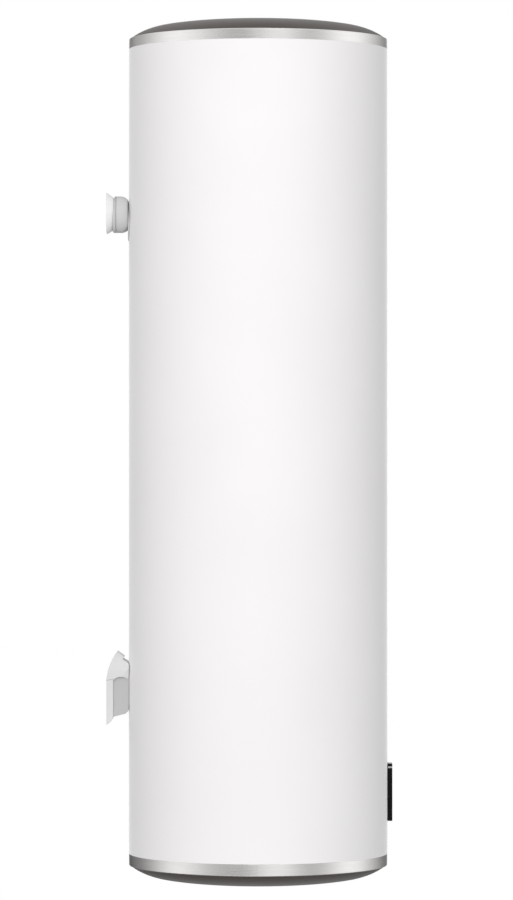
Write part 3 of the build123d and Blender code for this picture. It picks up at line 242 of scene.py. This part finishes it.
M = {
    "jacket_white": paint("jacket_white", (0.868, 0.852, 0.860), (0.890, 0.874, 0.882), 0.34, 420.0, 0.00004, spec=0.04, sheen=1.0),
    "bracket_white": paint("bracket_white", (0.84, 0.835, 0.838), (0.88, 0.875, 0.878), 0.46, 900.0, 0.00005, spec=0.0, fine=True),
    # bracket_grey is the white bracket paint darkened: painted shade on the drum
    "bracket_grey": paint("bracket_grey", (0.57, 0.565, 0.57), (0.61, 0.605, 0.61), 0.48, 900.0, 0.00005, spec=0.0, fine=True),
    "pad_grey": plastic("pad_grey", (0.50, 0.495, 0.50), (0.56, 0.555, 0.56), 0.62, 1200.0, 0.00004, spec=0.0),
    "trim_steel": brushed_ring("trim_steel"),
    "cap_grey": plastic("cap_grey", (0.058, 0.0480, 0.0425), (0.066, 0.0550, 0.0490), 0.46, 1500.0, 0.00004),
    "panel_black": plastic("panel_black", (0.0022, 0.0022, 0.0024), (0.0034, 0.0034, 0.0036), 0.16, 700.0, 0.000004, spec=0.16),
    "key_black": plastic("key_black", (0.012, 0.012, 0.013), (0.018, 0.018, 0.019), 0.42, 2200.0, 0.00002),
    "part_black": plastic("part_black", (0.012, 0.012, 0.013), (0.022, 0.022, 0.023), 0.48, 1800.0, 0.00003),
    "part_white": plastic("part_white", (0.62, 0.60, 0.55), (0.68, 0.66, 0.61), 0.45, 1500.0, 0.00002),
    "cold_blue": plastic("cold_blue", (0.012, 0.055, 0.32), (0.018, 0.075, 0.38), 0.35, 1500.0, 0.00002),
    "hot_red": plastic("hot_red", (0.36, 0.012, 0.010), (0.43, 0.02, 0.015), 0.35, 1500.0, 0.00002),
    "board_green": plastic("board_green", (0.008, 0.06, 0.022), (0.012, 0.085, 0.03), 0.38, 900.0, 0.00002),
    "rubber_black": plastic("rubber_black", (0.012, 0.012, 0.012), (0.02, 0.02, 0.02), 0.68, 1200.0, 0.00004, spec=0.3),
    "lead_red": plastic("lead_red", (0.22, 0.03, 0.018), (0.28, 0.045, 0.025), 0.5, 1200.0, 0.00002),
    "cable_grey": plastic("cable_grey", (0.10, 0.10, 0.105), (0.13, 0.13, 0.135), 0.5, 1200.0, 0.00002),
    "trim_bright": metal("trim_bright", (0.72, 0.72, 0.73), (0.80, 0.80, 0.81), 0.16),
    "bare_steel": metal("bare_steel", (0.50, 0.50, 0.48), (0.62, 0.62, 0.60), 0.36),
    "pipe_steel": metal("pipe_steel", (0.50, 0.49, 0.46), (0.62, 0.61, 0.58), 0.32),
    "element_sheath": metal("element_sheath", (0.40, 0.37, 0.33), (0.52, 0.48, 0.42), 0.35),
    "anode_magnesium": metal("anode_magnesium", (0.42, 0.42, 0.41), (0.55, 0.55, 0.54), 0.6, h=0.00008),
    "enamelled_steel": paint("enamelled_steel", (0.010, 0.014, 0.024), (0.018, 0.024, 0.040), 0.22, 500.0, 0.00005),
    "foam_yellow": foam("foam_yellow"),
}


def window():
    t = Tree("window_smoke")
    n = t.noise(t.obj(), 500.0, 2.0, 0.5)
    t.link(t.span(n, 0.3, 0.7, 0.03, 0.06), t.bsdf.inputs["Roughness"])
    tint = t.noise(t.obj(), 40.0, 2.0, 0.5)
    t.link(mix_color(t, t.span(tint, 0.3, 0.7, 0, 1), (0.20, 0.20, 0.215), (0.23, 0.23, 0.245)), t.bsdf.inputs["Base Color"])
    t.set(IOR=1.49, Transmission_Weight=1.0)
    return t.mat


M["window_smoke"] = window()

# darker copies of the white bracket paint for the lower shoe and body: painted shade, standing in for the shade under
# the hood and on the side away from the light
SHADED_PAINTS = {
    "lower_wall_shoe": paint("shoe_white_painted_shade", (0.68, 0.675, 0.682), (0.72, 0.715, 0.722), 0.46, 900.0, 0.00005, spec=0.0, fine=True),
    "lower_bracket_body": paint("body_grey_painted_shade", (0.49, 0.487, 0.495), (0.53, 0.527, 0.535), 0.48, 900.0, 0.00005, spec=0.0, fine=True),
}

slot_of = {s["node"]: s["material_slot"] for s in frame["record"]["subparts"]}
for name, obj in NODES.items():
    obj.data.materials.clear()
    obj.data.materials.append(SHADED_PAINTS.get(name) or M[slot_of[name]])

# ================================================================ pieces
def piece(name, bm, mat, body="heater", smooth=None):
    """A finished mesh as an object on a body. smooth is the largest angle, in degrees, shaded as one surface."""
    bmesh.ops.recalc_face_normals(bm, faces=bm.faces)
    me = bpy.data.meshes.new(name)
    if smooth is not None:
        for f in bm.faces:
            f.smooth = True
        lim = math.radians(smooth)
        for e in bm.edges:
            if len(e.link_faces) != 2 or e.calc_face_angle(0.0) > lim:
                e.smooth = False
    bm.to_mesh(me)
    bm.free()
    me.materials.append(mat)
    ob = bpy.data.objects.new(name, me)
    bpy.context.scene.collection.objects.link(ob)
    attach(ob, body)
    return ob


def plate(bm, loop, y0, y1, ease=0.0):
    """Flat inlay facing the front: an outline of (x, h) in mm from y0 (front) back to y1, its front edge eased."""
    cx = sum(q[0] for q in loop) / len(loop)
    cz = sum(q[1] for q in loop) / len(loop)
    rows = []
    for y, k in ((y0, 1.0 - ease), (y0 + (y1 - y0) * 0.35, 1.0), (y1, 1.0)):
        rows.append([bm.verts.new(((cx + (u - cx) * k) * MM, y, Z(cz + (v - cz) * k))) for u, v in loop])
    n = len(loop)
    bm.faces.new(rows[0])
    bm.faces.new(list(reversed(rows[2])))
    for a, b in zip(rows, rows[1:]):
        for i in range(n):
            j = (i + 1) % n
            bm.faces.new((a[i], a[j], b[j], b[i]))


def strip(bm, inner, outer, y0, y1):
    """A curved band between two open lines of (x, h) points, as a solid."""
    n = len(inner)
    grid = [[bm.verts.new((u * MM, y, Z(v))) for u, v in line] for line, y in ((inner, y0), (outer, y0), (outer, y1), (inner, y1))]
    for i in range(n - 1):
        for a, b in zip(grid, grid[1:] + grid[:1]):
            bm.faces.new((a[i], b[i], b[i + 1], a[i + 1]))
    bm.faces.new([g[0] for g in grid])
    bm.faces.new([g[-1] for g in reversed(grid)])


def lathe(bm, profile, cx, cy, seg=64, twist=None):
    """A ring of (r, h) points in mm turned about a vertical axis, closed on itself.
    twist(r, h, turn) may change the radius round the turn, as a screw thread does."""
    rings = []
    for r, h in profile:
        ring = []
        for k in range(seg):
            t = 2 * math.pi * k / seg
            q = twist(r, h, k / seg) if twist else r
            ring.append(bm.verts.new(((cx + q * math.cos(t)) * MM, YA + (cy + q * math.sin(t)) * MM, Z(h))))
        rings.append(ring)
    for a, b in zip(rings, rings[1:] + rings[:1]):
        for k in range(seg):
            j = (k + 1) % seg
            bm.faces.new((a[k], a[j], b[j], b[k]))


# ---------------------------------------------------------------- control strip: lit display and key marks
def glow(name, color, power):
    """A lit segment whose brightness and tint vary slightly at random across it."""
    t = Tree(name)
    n = t.noise(t.obj(), 900.0, 2.0, 0.5)
    t.link(t.span(n, 0.3, 0.7, power * 0.9, power * 1.1), t.bsdf.inputs["Emission Strength"])
    t.link(mix_color(t, t.span(n, 0.2, 0.8, 0, 1), color, tuple(min(1.0, c * 1.08) for c in color)), t.bsdf.inputs["Emission Color"])
    t.set(Base_Color=(0.5, 0.5, 0.5, 1), Roughness=0.5)
    return t.mat


M_LIT = glow("display_lit", (0.80, 0.93, 1.0), 6.0)
M_UNLIT = plastic("display_unlit", (0.018, 0.018, 0.020), (0.024, 0.024, 0.026), 0.5, 1200.0, 0.00001)
M_MARK = plastic("key_print", (0.50, 0.50, 0.50), (0.56, 0.56, 0.56), 0.45, 2500.0, 0.000004)

SEGMENTS = {"a": ((0, 1), "h"), "b": ((1, 0.5), "v"), "c": ((1, -0.5), "v"), "d": ((0, -1), "h"), "e": ((-1, -0.5), "v"), "f": ((-1, 0.5), "v"), "g": ((0, 0), "h")}
DIGITS = {5: "afgcd", 6: "afgedc"}


def segment(x0, h0, w, hh, t, at, way, lean=0.09):
    """Six-sided bar of a digit: w and hh are half its width and height, t the bar's half thickness."""
    (u, v) = at
    cx, cz = u * w, v * hh
    if way == "h":
        ln = w - 0.22
        pts = [(-ln, 0), (-ln + t, t), (ln - t, t), (ln, 0), (ln - t, -t), (-ln + t, -t)]
    else:
        ln = hh / 2 - 0.22
        pts = [(0, -ln), (t, -ln + t), (t, ln - t), (0, ln), (-t, ln - t), (-t, -ln + t)]
    return [(x0 + cx + p + (cz + q) * lean, h0 + cz + q) for p, q in pts]


Y_SEG0, Y_SEG1 = YF + 0.00142, YF + 0.00149
bm_lit, bm_off = bmesh.new(), bmesh.new()
for x0, value in ((-4.1, 6), (4.1, 5)):
    for key, (at, way) in SEGMENTS.items():
        plate(bm_lit if key in DIGITS[value] else bm_off, segment(x0, 141.6, 2.7, 5.2, 0.58, at, way), Y_SEG0, Y_SEG1)
# degree ring beside the digits
ring = [(8.75 + 0.55 * math.cos(t * math.pi / 12), 147.0 + 0.55 * math.sin(t * math.pi / 12)) for t in range(25)]
ring_o = [(8.75 + 0.95 * math.cos(t * math.pi / 12), 147.0 + 0.95 * math.sin(t * math.pi / 12)) for t in range(25)]
strip(bm_lit, ring[:24], ring_o[:24], Y_SEG0, Y_SEG1)
# three bars for the heating stage, two of them lit, and a drop above the digits
for i in range(3):
    x = -5.4 + 5.4 * i
    plate(bm_lit if i < 2 else bm_off, [(x - 2.1, 129.6), (x + 2.1, 129.6), (x + 2.4, 130.8), (x - 1.8, 130.8)], Y_SEG0, Y_SEG1)
drop = [(-6.6 + 0.95 * math.sin(t), 150.2 - 0.95 * math.cos(t)) for t in (math.radians(d) for d in range(-125, 126, 10))]
plate(bm_lit, [(-6.6, 152.4)] + list(reversed(drop)), Y_SEG0, Y_SEG1)
# heating mark: three upright waves
for k in range(3):
    x = 4.6 + 1.4 * k
    line = [(x + 0.32 * math.sin(q * math.pi / 5), 149.4 + 0.28 * q) for q in range(11)]
    strip(bm_lit if k < 3 else bm_off, [(u - 0.2, v) for u, v in line], [(u + 0.2, v) for u, v in line], Y_SEG0, Y_SEG1)
piece("display_segments_lit", bm_lit, M_LIT)
piece("display_segments_off", bm_off, M_UNLIT)

KEY_FACE = YF - 0.00025
bm = bmesh.new()
a, b = 0.32, 1.55
plate(bm, [(-a, 116.6 + b), (-a, 116.6 + a), (-b, 116.6 + a), (-b, 116.6 - a), (-a, 116.6 - a), (-a, 116.6 - b),
           (a, 116.6 - b), (a, 116.6 - a), (b, 116.6 - a), (b, 116.6 + a), (a, 116.6 + a), (a, 116.6 + b)], KEY_FACE - 0.00005, KEY_FACE + 0.0002)
piece("up_key_mark", bm, M_MARK, "up_key_body")
bm = bmesh.new()
plate(bm, [(-b, 106.6 + a), (-b, 106.6 - a), (b, 106.6 - a), (b, 106.6 + a)], KEY_FACE - 0.00005, KEY_FACE + 0.0002)
piece("down_key_mark", bm, M_MARK, "down_key_body")
bm = bmesh.new()
arc = [math.radians(d) for d in range(128, 413, 12)]
strip(bm, [(1.35 * math.cos(t), 95.4 + 1.35 * math.sin(t)) for t in arc], [(1.8 * math.cos(t), 95.4 + 1.8 * math.sin(t)) for t in arc], KEY_FACE - 0.00005, KEY_FACE + 0.0002)
plate(bm, [(-0.24, 95.8), (0.24, 95.8), (0.24, 97.7), (-0.24, 97.7)], KEY_FACE - 0.00005, KEY_FACE + 0.0002)
piece("power_key_mark", bm, M_MARK, "power_key_body")

# ---------------------------------------------------------------- water nipples with their cut threads
PITCH, DEPTH = 1.814, 1.16


def nipple(r, h, turn):
    """Half inch pipe thread: flanks at 55 degrees with rounded crest and root, a chamfer at the end and a run-out."""
    if r < 10.0 or h >= 22.0:
        return r
    t = ((h - 4.0) / PITCH - turn) % 1.0
    v = min(1.0, max(0.0, (abs(2 * t - 1) - 0.14) / 0.72))
    v = v * v * (3 - 2 * v) * 0.35 + v * 0.65
    q = r - DEPTH * v * min(1.0, (22.0 - h) / 2.6)
    return min(q, 9.35 + (h - 4.0) * 1.1)


def pipe(name, node, x, bore, top):
    n = 100
    prof = [(10.48, 4.0 + 18.0 * i / n) for i in range(n)]
    prof += [(9.9, 22.0), (9.9, 111.6), (9.5, 112.0)]
    if top > 112.0:
        prof += [(8.0, 112.0), (8.0, top)]
    prof += [(bore, top), (bore, 4.9), (bore + 0.7, 4.0)]
    bm = bmesh.new()
    lathe(bm, prof, x, 35.0, 96, nipple)
    ob = piece(name, bm, M["pipe_steel"], smooth=40)
    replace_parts(ob, node)


pipe("cold_inlet_threaded", "cold_inlet_pipe", -50.0, 8.0, 112.0)
pipe("hot_outlet_threaded", "hot_outlet_pipe", 50.0, 6.8, 1104.0)

# ---------------------------------------------------------------- fastenings behind the bottom cover
FLANGE_Y = -45.0


def hex_nut(bm, cx, cy, across, bore, h0, h1):
    """A nut with both faces turned off at 30 degrees and a countersunk bore."""
    seg, half = 72, across / 2
    tall = h1 - h0
    cut = [0.0, 0.12, 0.24, 0.36, 0.48, 0.62]
    rows = [(h0 + c, half * 0.95 + c / 0.577) for c in cut] + [(h1 - c, half * 0.95 + c / 0.577) for c in reversed(cut)]
    prof = [(lim, h) for h, lim in rows] + [(bore + 0.45, h1), (bore, h1 - 0.45), (bore, h0 + 0.45), (bore + 0.45, h0)]

    def flats(r, h, turn):
        if r < half * 0.9:
            return r
        a = (turn * 6.0) % 1.0 - 0.5
        return min(r, half / math.cos(a * math.pi / 3))

    lathe(bm, prof, cx, cy, seg, flats)


def stud_thread(h0, h1, pitch, depth):
    """Radius along a screw thread, run out over its last turn, with the end turned to a point."""
    def turned(r, h, turn):
        if h >= h1 or r < 0.5:
            return r
        t = ((h - h0) / pitch - turn) % 1.0
        v = min(1.0, max(0.0, (abs(2 * t - 1) - 0.10) / 0.80))
        return min(r - depth * v * min(1.0, (h1 - h) / pitch), r - depth + (h - h0) * 1.2)
    return turned


def stud(bm, cx, cy, r, h0, h1, top, pitch, depth, seg=40):
    """A round rod threaded from its lower end h0 up to h1, plain above."""
    n = int((h1 - h0) / pitch * 10)
    prof = [(r, h0 + (h1 - h0) * i / n) for i in range(n + 1)] + [(r, top), (0.02, top), (0.02, h0)]
    lathe(bm, prof, cx, cy, seg, stud_thread(h0, h1, pitch, depth))


bm_s, bm_n = bmesh.new(), bmesh.new()
for k in range(6):
    t = math.radians(60 * k)
    x, y = 40.0 * math.cos(t), FLANGE_Y + 40.0 * math.sin(t)
    stud(bm_s, x, y, 2.95, 60.0, 69.0, 88.4, 1.0, 0.55)
    hex_nut(bm_n, x, y, 10.0, 3.0, 63.0, 68.4)
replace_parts(piece("flange_studs_threaded", bm_s, M[slot_of["flange_studs"]], smooth=40), "flange_studs")
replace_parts(piece("flange_nuts_turned", bm_n, M[slot_of["flange_nuts"]], smooth=25), "flange_nuts")
bm = bmesh.new()
hex_nut(bm, 22.0, FLANGE_Y, 11.0, 3.05, 62.5, 68.4)
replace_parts(piece("anode_nut_turned", bm, M[slot_of["anode_nut"]], smooth=25), "anode_nut")

# clamp screws in the mains terminal block, each with a slotted head
bm = bmesh.new()
for k in (-11.0, 0.0, 11.0):
    n, cx, cy = 40, 112.0, -8.0 + k
    lean = math.radians(20.0 + 35.0 * k)

    def seat(q):
        # the slot across the head, 0.9 mm wide and 1 mm deep, with its walls drafted
        u, v, h = q
        across = abs(-u * math.sin(lean) + v * math.cos(lean))
        if h < 72.0 and across < 0.62:
            h = 72.2 if across < 0.40 else 72.2 - (across - 0.40) / 0.22 * (72.2 - h)
        return bm.verts.new(((cx + u) * MM, YA + (cy + v) * MM, Z(h)))

    grid = []
    for i in range(15):
        r = 2.65 * i / 14.0
        h = 71.2 + max(0.0, (r - 1.3) / 1.35) ** 2.2
        grid.append([seat((r * math.cos(2 * math.pi * j / n), r * math.sin(2 * math.pi * j / n), h)) for j in range(n)] if i else [seat((0.0, 0.0, 71.2))])
    grid.append([bm.verts.new(((cx + 2.65 * math.cos(2 * math.pi * j / n)) * MM, YA + (cy + 2.65 * math.sin(2 * math.pi * j / n)) * MM, Z(75.8))) for j in range(n)])
    for j in range(n):
        bm.faces.new((grid[0][0], grid[1][j], grid[1][(j + 1) % n]))
    for a, b in zip(grid[1:], grid[2:]):
        for j in range(n):
            bm.faces.new((a[j], b[j], b[(j + 1) % n], a[(j + 1) % n]))
    bm.faces.new(list(reversed(grid[-1])))
piece("terminal_screws", bm, M["bare_steel"], smooth=40)

# soft boots over the two element terminals that are wired
bm = bmesh.new()
for x in (-14.0, 14.0):
    lathe(bm, [(1.55, 44.6), (2.15, 44.4), (2.45, 44.9), (2.45, 45.6), (2.2, 45.9), (2.2, 46.3), (2.45, 46.6), (2.45, 47.3), (2.2, 47.6), (2.2, 48.0),
               (2.9, 49.2), (3.9, 50.2), (4.15, 50.9), (4.15, 54.6), (3.95, 55.0), (3.55, 55.0), (3.55, 51.0), (1.55, 49.0)], x, FLANGE_Y - 16.0, 48)
piece("terminal_boots", bm, M["rubber_black"], smooth=40)

# ---------------------------------------------------------------- wall brackets with the rounded edges of pressed and painted parts
def eased(name, node, width, seg=3, limit=28.0, sharp=None):
    """The node's own shape with its edges rounded by width, in mm, but for those that sharp(y, h) keeps."""
    src = NODES[node]
    bm = bmesh.new()
    bm.from_mesh(src.data)
    bm.transform(src.matrix_world)
    bmesh.ops.remove_doubles(bm, verts=bm.verts, dist=2e-6)
    bmesh.ops.dissolve_limit(bm, angle_limit=math.radians(0.6), verts=bm.verts, edges=bm.edges, use_dissolve_boundaries=False)
    lim = math.radians(limit)
    edges = []
    for e in bm.edges:
        if len(e.link_faces) == 2 and e.calc_face_angle(0.0) > lim:
            mid = (e.verts[0].co + e.verts[1].co) / 2
            if not (sharp and sharp(mid.y / MM, (mid.z + H0) / MM)):
                edges.append(e)
    bmesh.ops.bevel(bm, geom=edges, offset=width * MM, offset_type="OFFSET", segments=seg, profile=0.5, affect="EDGES", clamp_overlap=False)
    ob = piece(name, bm, src.data.materials[0], smooth=38)
    even = ob.modifiers.new("even", "WEIGHTED_NORMAL")
    even.keep_sharp = True
    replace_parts(ob, node)
    return ob


eased("upper_drum_eased", "hanger_drum", 0.9)
# where the shoe's plate and the body meet, both stay sharp
eased("lower_shoe_eased", "lower_wall_shoe", 0.9, sharp=lambda y, h: y > -1.5 or (-9.9 < y < -8.7 and h < 279.0))
eased("lower_body_eased", "lower_bracket_body", 0.9, sharp=lambda y, h: y > -10.5)

# ================================================================ stage, light and camera
def area(name, loc, target, size, size_y, glow, color=(1, 1, 1)):
    """A softbox whose face has the brightness glow."""
    d = bpy.data.lights.new(name, "AREA")
    d.shape = "RECTANGLE"
    d.size, d.size_y = size, size_y
    d.energy = glow * math.pi * size * size_y
    d.color = color
    o = bpy.data.objects.new(name, d)
    o.location = loc
    o.rotation_euler = (Vector(target) - Vector(loc)).to_track_quat("-Z", "Y").to_euler()
    bpy.context.scene.collection.objects.link(o)
    return o


C = Vector((0, YA, Z(589)))


def around(az_deg, dist, dz=0.0):
    """A place round the heater: azimuth 0 is the camera's side, positive towards the front panel."""
    a = math.radians(az_deg)
    return C + Vector((-math.cos(a) * dist, -math.sin(a) * dist, dz))


# light tent: white walls of uneven brightness round the heater, by azimuth, with a bright ceiling.
# LIT lights the surfaces; HIGH and LOW are mirrored in the metal, above and below eye level.
LIT = [(-180, 0.93), (-165, 0.98), (-150, 1.02), (-135, 0.76), (-120, 0.54), (-100, 0.47), (-76, 0.47), (-46, 0.51), (-16, 0.56), (0, 0.63),
       (17, 0.77), (33, 0.70), (49, 0.52), (68, 0.40), (90, 0.33), (114, 0.33), (135, 0.45), (150, 0.95), (165, 1.10), (180, 0.95)]
HIGH = [(-180, 1.05), (-172, 0.95), (-164, 0.26), (-144, 0.41), (-122, 0.62), (-100, 0.95), (-76, 1.12), (-46, 0.82), (-16, 0.41), (0, 0.64),
        (17, 0.87), (33, 0.74), (49, 0.61), (68, 0.92), (90, 1.11), (114, 0.85), (138, 0.49), (162, 0.30), (172, 0.90), (180, 1.05)]
LOW = [(-180, 0.40), (-172, 0.32), (-164, 0.09), (-144, 0.12), (-122, 0.22), (-100, 0.60), (-76, 1.05), (-46, 0.58), (-16, 0.29), (0, 0.50),
       (17, 0.82), (33, 0.61), (49, 0.43), (68, 0.78), (90, 1.13), (114, 0.73), (138, 0.29), (162, 0.15), (172, 0.34), (180, 0.40)]
# VAULT and SKIRT are mirrored in what slants upwards and downwards
VAULT = [(-180, 1.15), (-130, 1.00), (-85, 0.90), (-40, 1.45), (0, 1.90), (38, 1.75), (65, 1.00), (95, 0.80), (140, 0.85), (180, 1.15)]
SKIRT = [(-180, 1.00), (-172, 0.85), (-160, 0.25), (-140, 0.06), (-80, 0.06), (-45, 0.60), (-15, 1.50), (15, 1.50), (45, 0.85), (80, 0.28), (120, 0.12), (145, 0.14), (160, 0.40), (172, 0.90), (180, 1.00)]
# above and below: as lit from, as mirrored at a slant, as mirrored straight up or down
CEILING, SILL = (0.78, VAULT, 0.38), (0.55, SKIRT, 0.22)

world = bpy.data.worlds.new("studio")
bpy.context.scene.world = world
world.use_nodes = True
wn = world.node_tree
wn.nodes.clear()


def w(kind, *inputs, **props):
    n = wn.nodes.new(kind)
    for k, v in props.items():
        setattr(n, k, v)
    for i, v in enumerate(inputs):
        if isinstance(v, (int, float)):
            n.inputs[i].default_value = v
        elif v is not None:
            wn.links.new(v, n.inputs[i])
    return n


way = w("ShaderNodeTexCoord").outputs["Generated"]
xyz = w("ShaderNodeSeparateXYZ", way).outputs
az = w("ShaderNodeMath", w("ShaderNodeMath", xyz[1], -1.0, operation="MULTIPLY").outputs[0],
       w("ShaderNodeMath", xyz[0], -1.0, operation="MULTIPLY").outputs[0], operation="ARCTAN2").outputs[0]
u = w("ShaderNodeMapRange", az, -math.pi, math.pi, 0.0, 1.0).outputs[0]


def walls(stops):
    """Brightness of the tent's walls by azimuth."""
    n = w("ShaderNodeValToRGB", u)
    n.color_ramp.interpolation = "CARDINAL"
    els = n.color_ramp.elements
    while len(els) < len(stops):
        els.new(0.5)
    for el, (deg, v) in zip(els, stops):
        el.position = (deg + 180) / 360
        el.color = (v / 4, v / 4, v / 4, 1)
    return w("ShaderNodeMath", n.outputs[0], 4.0, operation="MULTIPLY").outputs[0]


up = w("ShaderNodeMapRange", xyz[2], 0.35, 0.65, 0.0, 1.0, interpolation_type="SMOOTHSTEP").outputs[0]
dn = w("ShaderNodeMapRange", xyz[2], -0.15, -0.55, 0.0, 1.0, interpolation_type="SMOOTHSTEP").outputs[0]
lp = wn.nodes.new("ShaderNodeLightPath")


def fade(fac, a, b):
    """Mix of two brightnesses, each a number or a socket."""
    n = wn.nodes.new("ShaderNodeMix")
    n.data_type = "FLOAT"
    for i, v in ((0, fac), (2, a), (3, b)):
        if isinstance(v, (int, float)):
            n.inputs[i].default_value = v
        else:
            wn.links.new(v, n.inputs[i])
    return n.outputs[0]


gloss = lp.outputs["Is Glossy Ray"]
level = w("ShaderNodeMapRange", xyz[2], -0.12, 0.12, 0.0, 1.0, interpolation_type="SMOOTHSTEP").outputs[0]
env = fade(gloss, walls(LIT), fade(level, walls(LOW), walls(HIGH)))
top = w("ShaderNodeMapRange", xyz[2], 0.70, 0.95, 0.0, 1.0, interpolation_type="SMOOTHSTEP").outputs[0]
foot = w("ShaderNodeMapRange", xyz[2], -0.60, -0.90, 0.0, 1.0, interpolation_type="SMOOTHSTEP").outputs[0]
env = fade(up, env, fade(gloss, CEILING[0], fade(top, walls(CEILING[1]), CEILING[2])))
env = fade(dn, env, fade(gloss, SILL[0], fade(foot, walls(SILL[1]), SILL[2])))

wo = wn.nodes.new("ShaderNodeOutputWorld")
b_cam = w("ShaderNodeBackground")
b_cam.inputs[0].default_value = (1, 1, 1, 1)
b_cam.inputs[1].default_value = 1.0
b_env = w("ShaderNodeBackground")
b_env.inputs[0].default_value = (1, 1, 1, 1)
wn.links.new(env, b_env.inputs[1])
mx = wn.nodes.new("ShaderNodeMixShader")
wn.links.new(lp.outputs["Is Camera Ray"], mx.inputs[0])
wn.links.new(b_env.outputs[0], mx.inputs[1])
wn.links.new(b_cam.outputs[0], mx.inputs[2])
wn.links.new(mx.outputs[0], wo.inputs[0])

key = area("key", around(-3, 3.6, 0.9), C, 2.2, 2.8, 3.58)
key.visible_glossy = False

# plain pale floor, well below the hanging heater
floor_mesh = bpy.data.meshes.new("floor")
bm = bmesh.new()
bmesh.ops.create_circle(bm, cap_ends=True, segments=96, radius=1.3)
bm.to_mesh(floor_mesh)
bm.free()
floor = bpy.data.objects.new("floor", floor_mesh)
floor.location = (0, YA, Z(-1300))
bpy.context.scene.collection.objects.link(floor)
t = Tree("floor_pale")
t.link(mix_color(t, t.span(t.noise(t.obj(), 2.0, 2.0, 0.5), 0.3, 0.7, 0, 1), (0.90, 0.90, 0.90), (0.93, 0.93, 0.93)), t.bsdf.inputs["Base Color"])
t.set(Roughness=0.8, Specular_IOR_Level=0.2, Emission_Color=(1, 1, 1, 1), Emission_Strength=0.25)
reach = t.new("ShaderNodeVectorMath", operation="LENGTH")
t.link(t.obj(), reach.inputs[0])
t.link(t.span(reach.outputs["Value"], 0.55, 1.25, 1.0, 0.0), t.bsdf.inputs["Alpha"])
floor_mesh.materials.append(t.mat)
floor.visible_glossy = False

cam_d = bpy.data.cameras.new("camera")
cam_d.lens = 180.14
cam_d.sensor_width = 36.0
cam = bpy.data.objects.new("camera", cam_d)
cam.location = (-6.150, YA + 0.0022, Z(591.9))
cam.rotation_euler = (math.pi / 2, 0, -math.pi / 2)
bpy.context.scene.collection.objects.link(cam)
bpy.context.scene.camera = cam
cam_d.clip_end = 100

bpy.context.scene.view_settings.view_transform = "Standard"
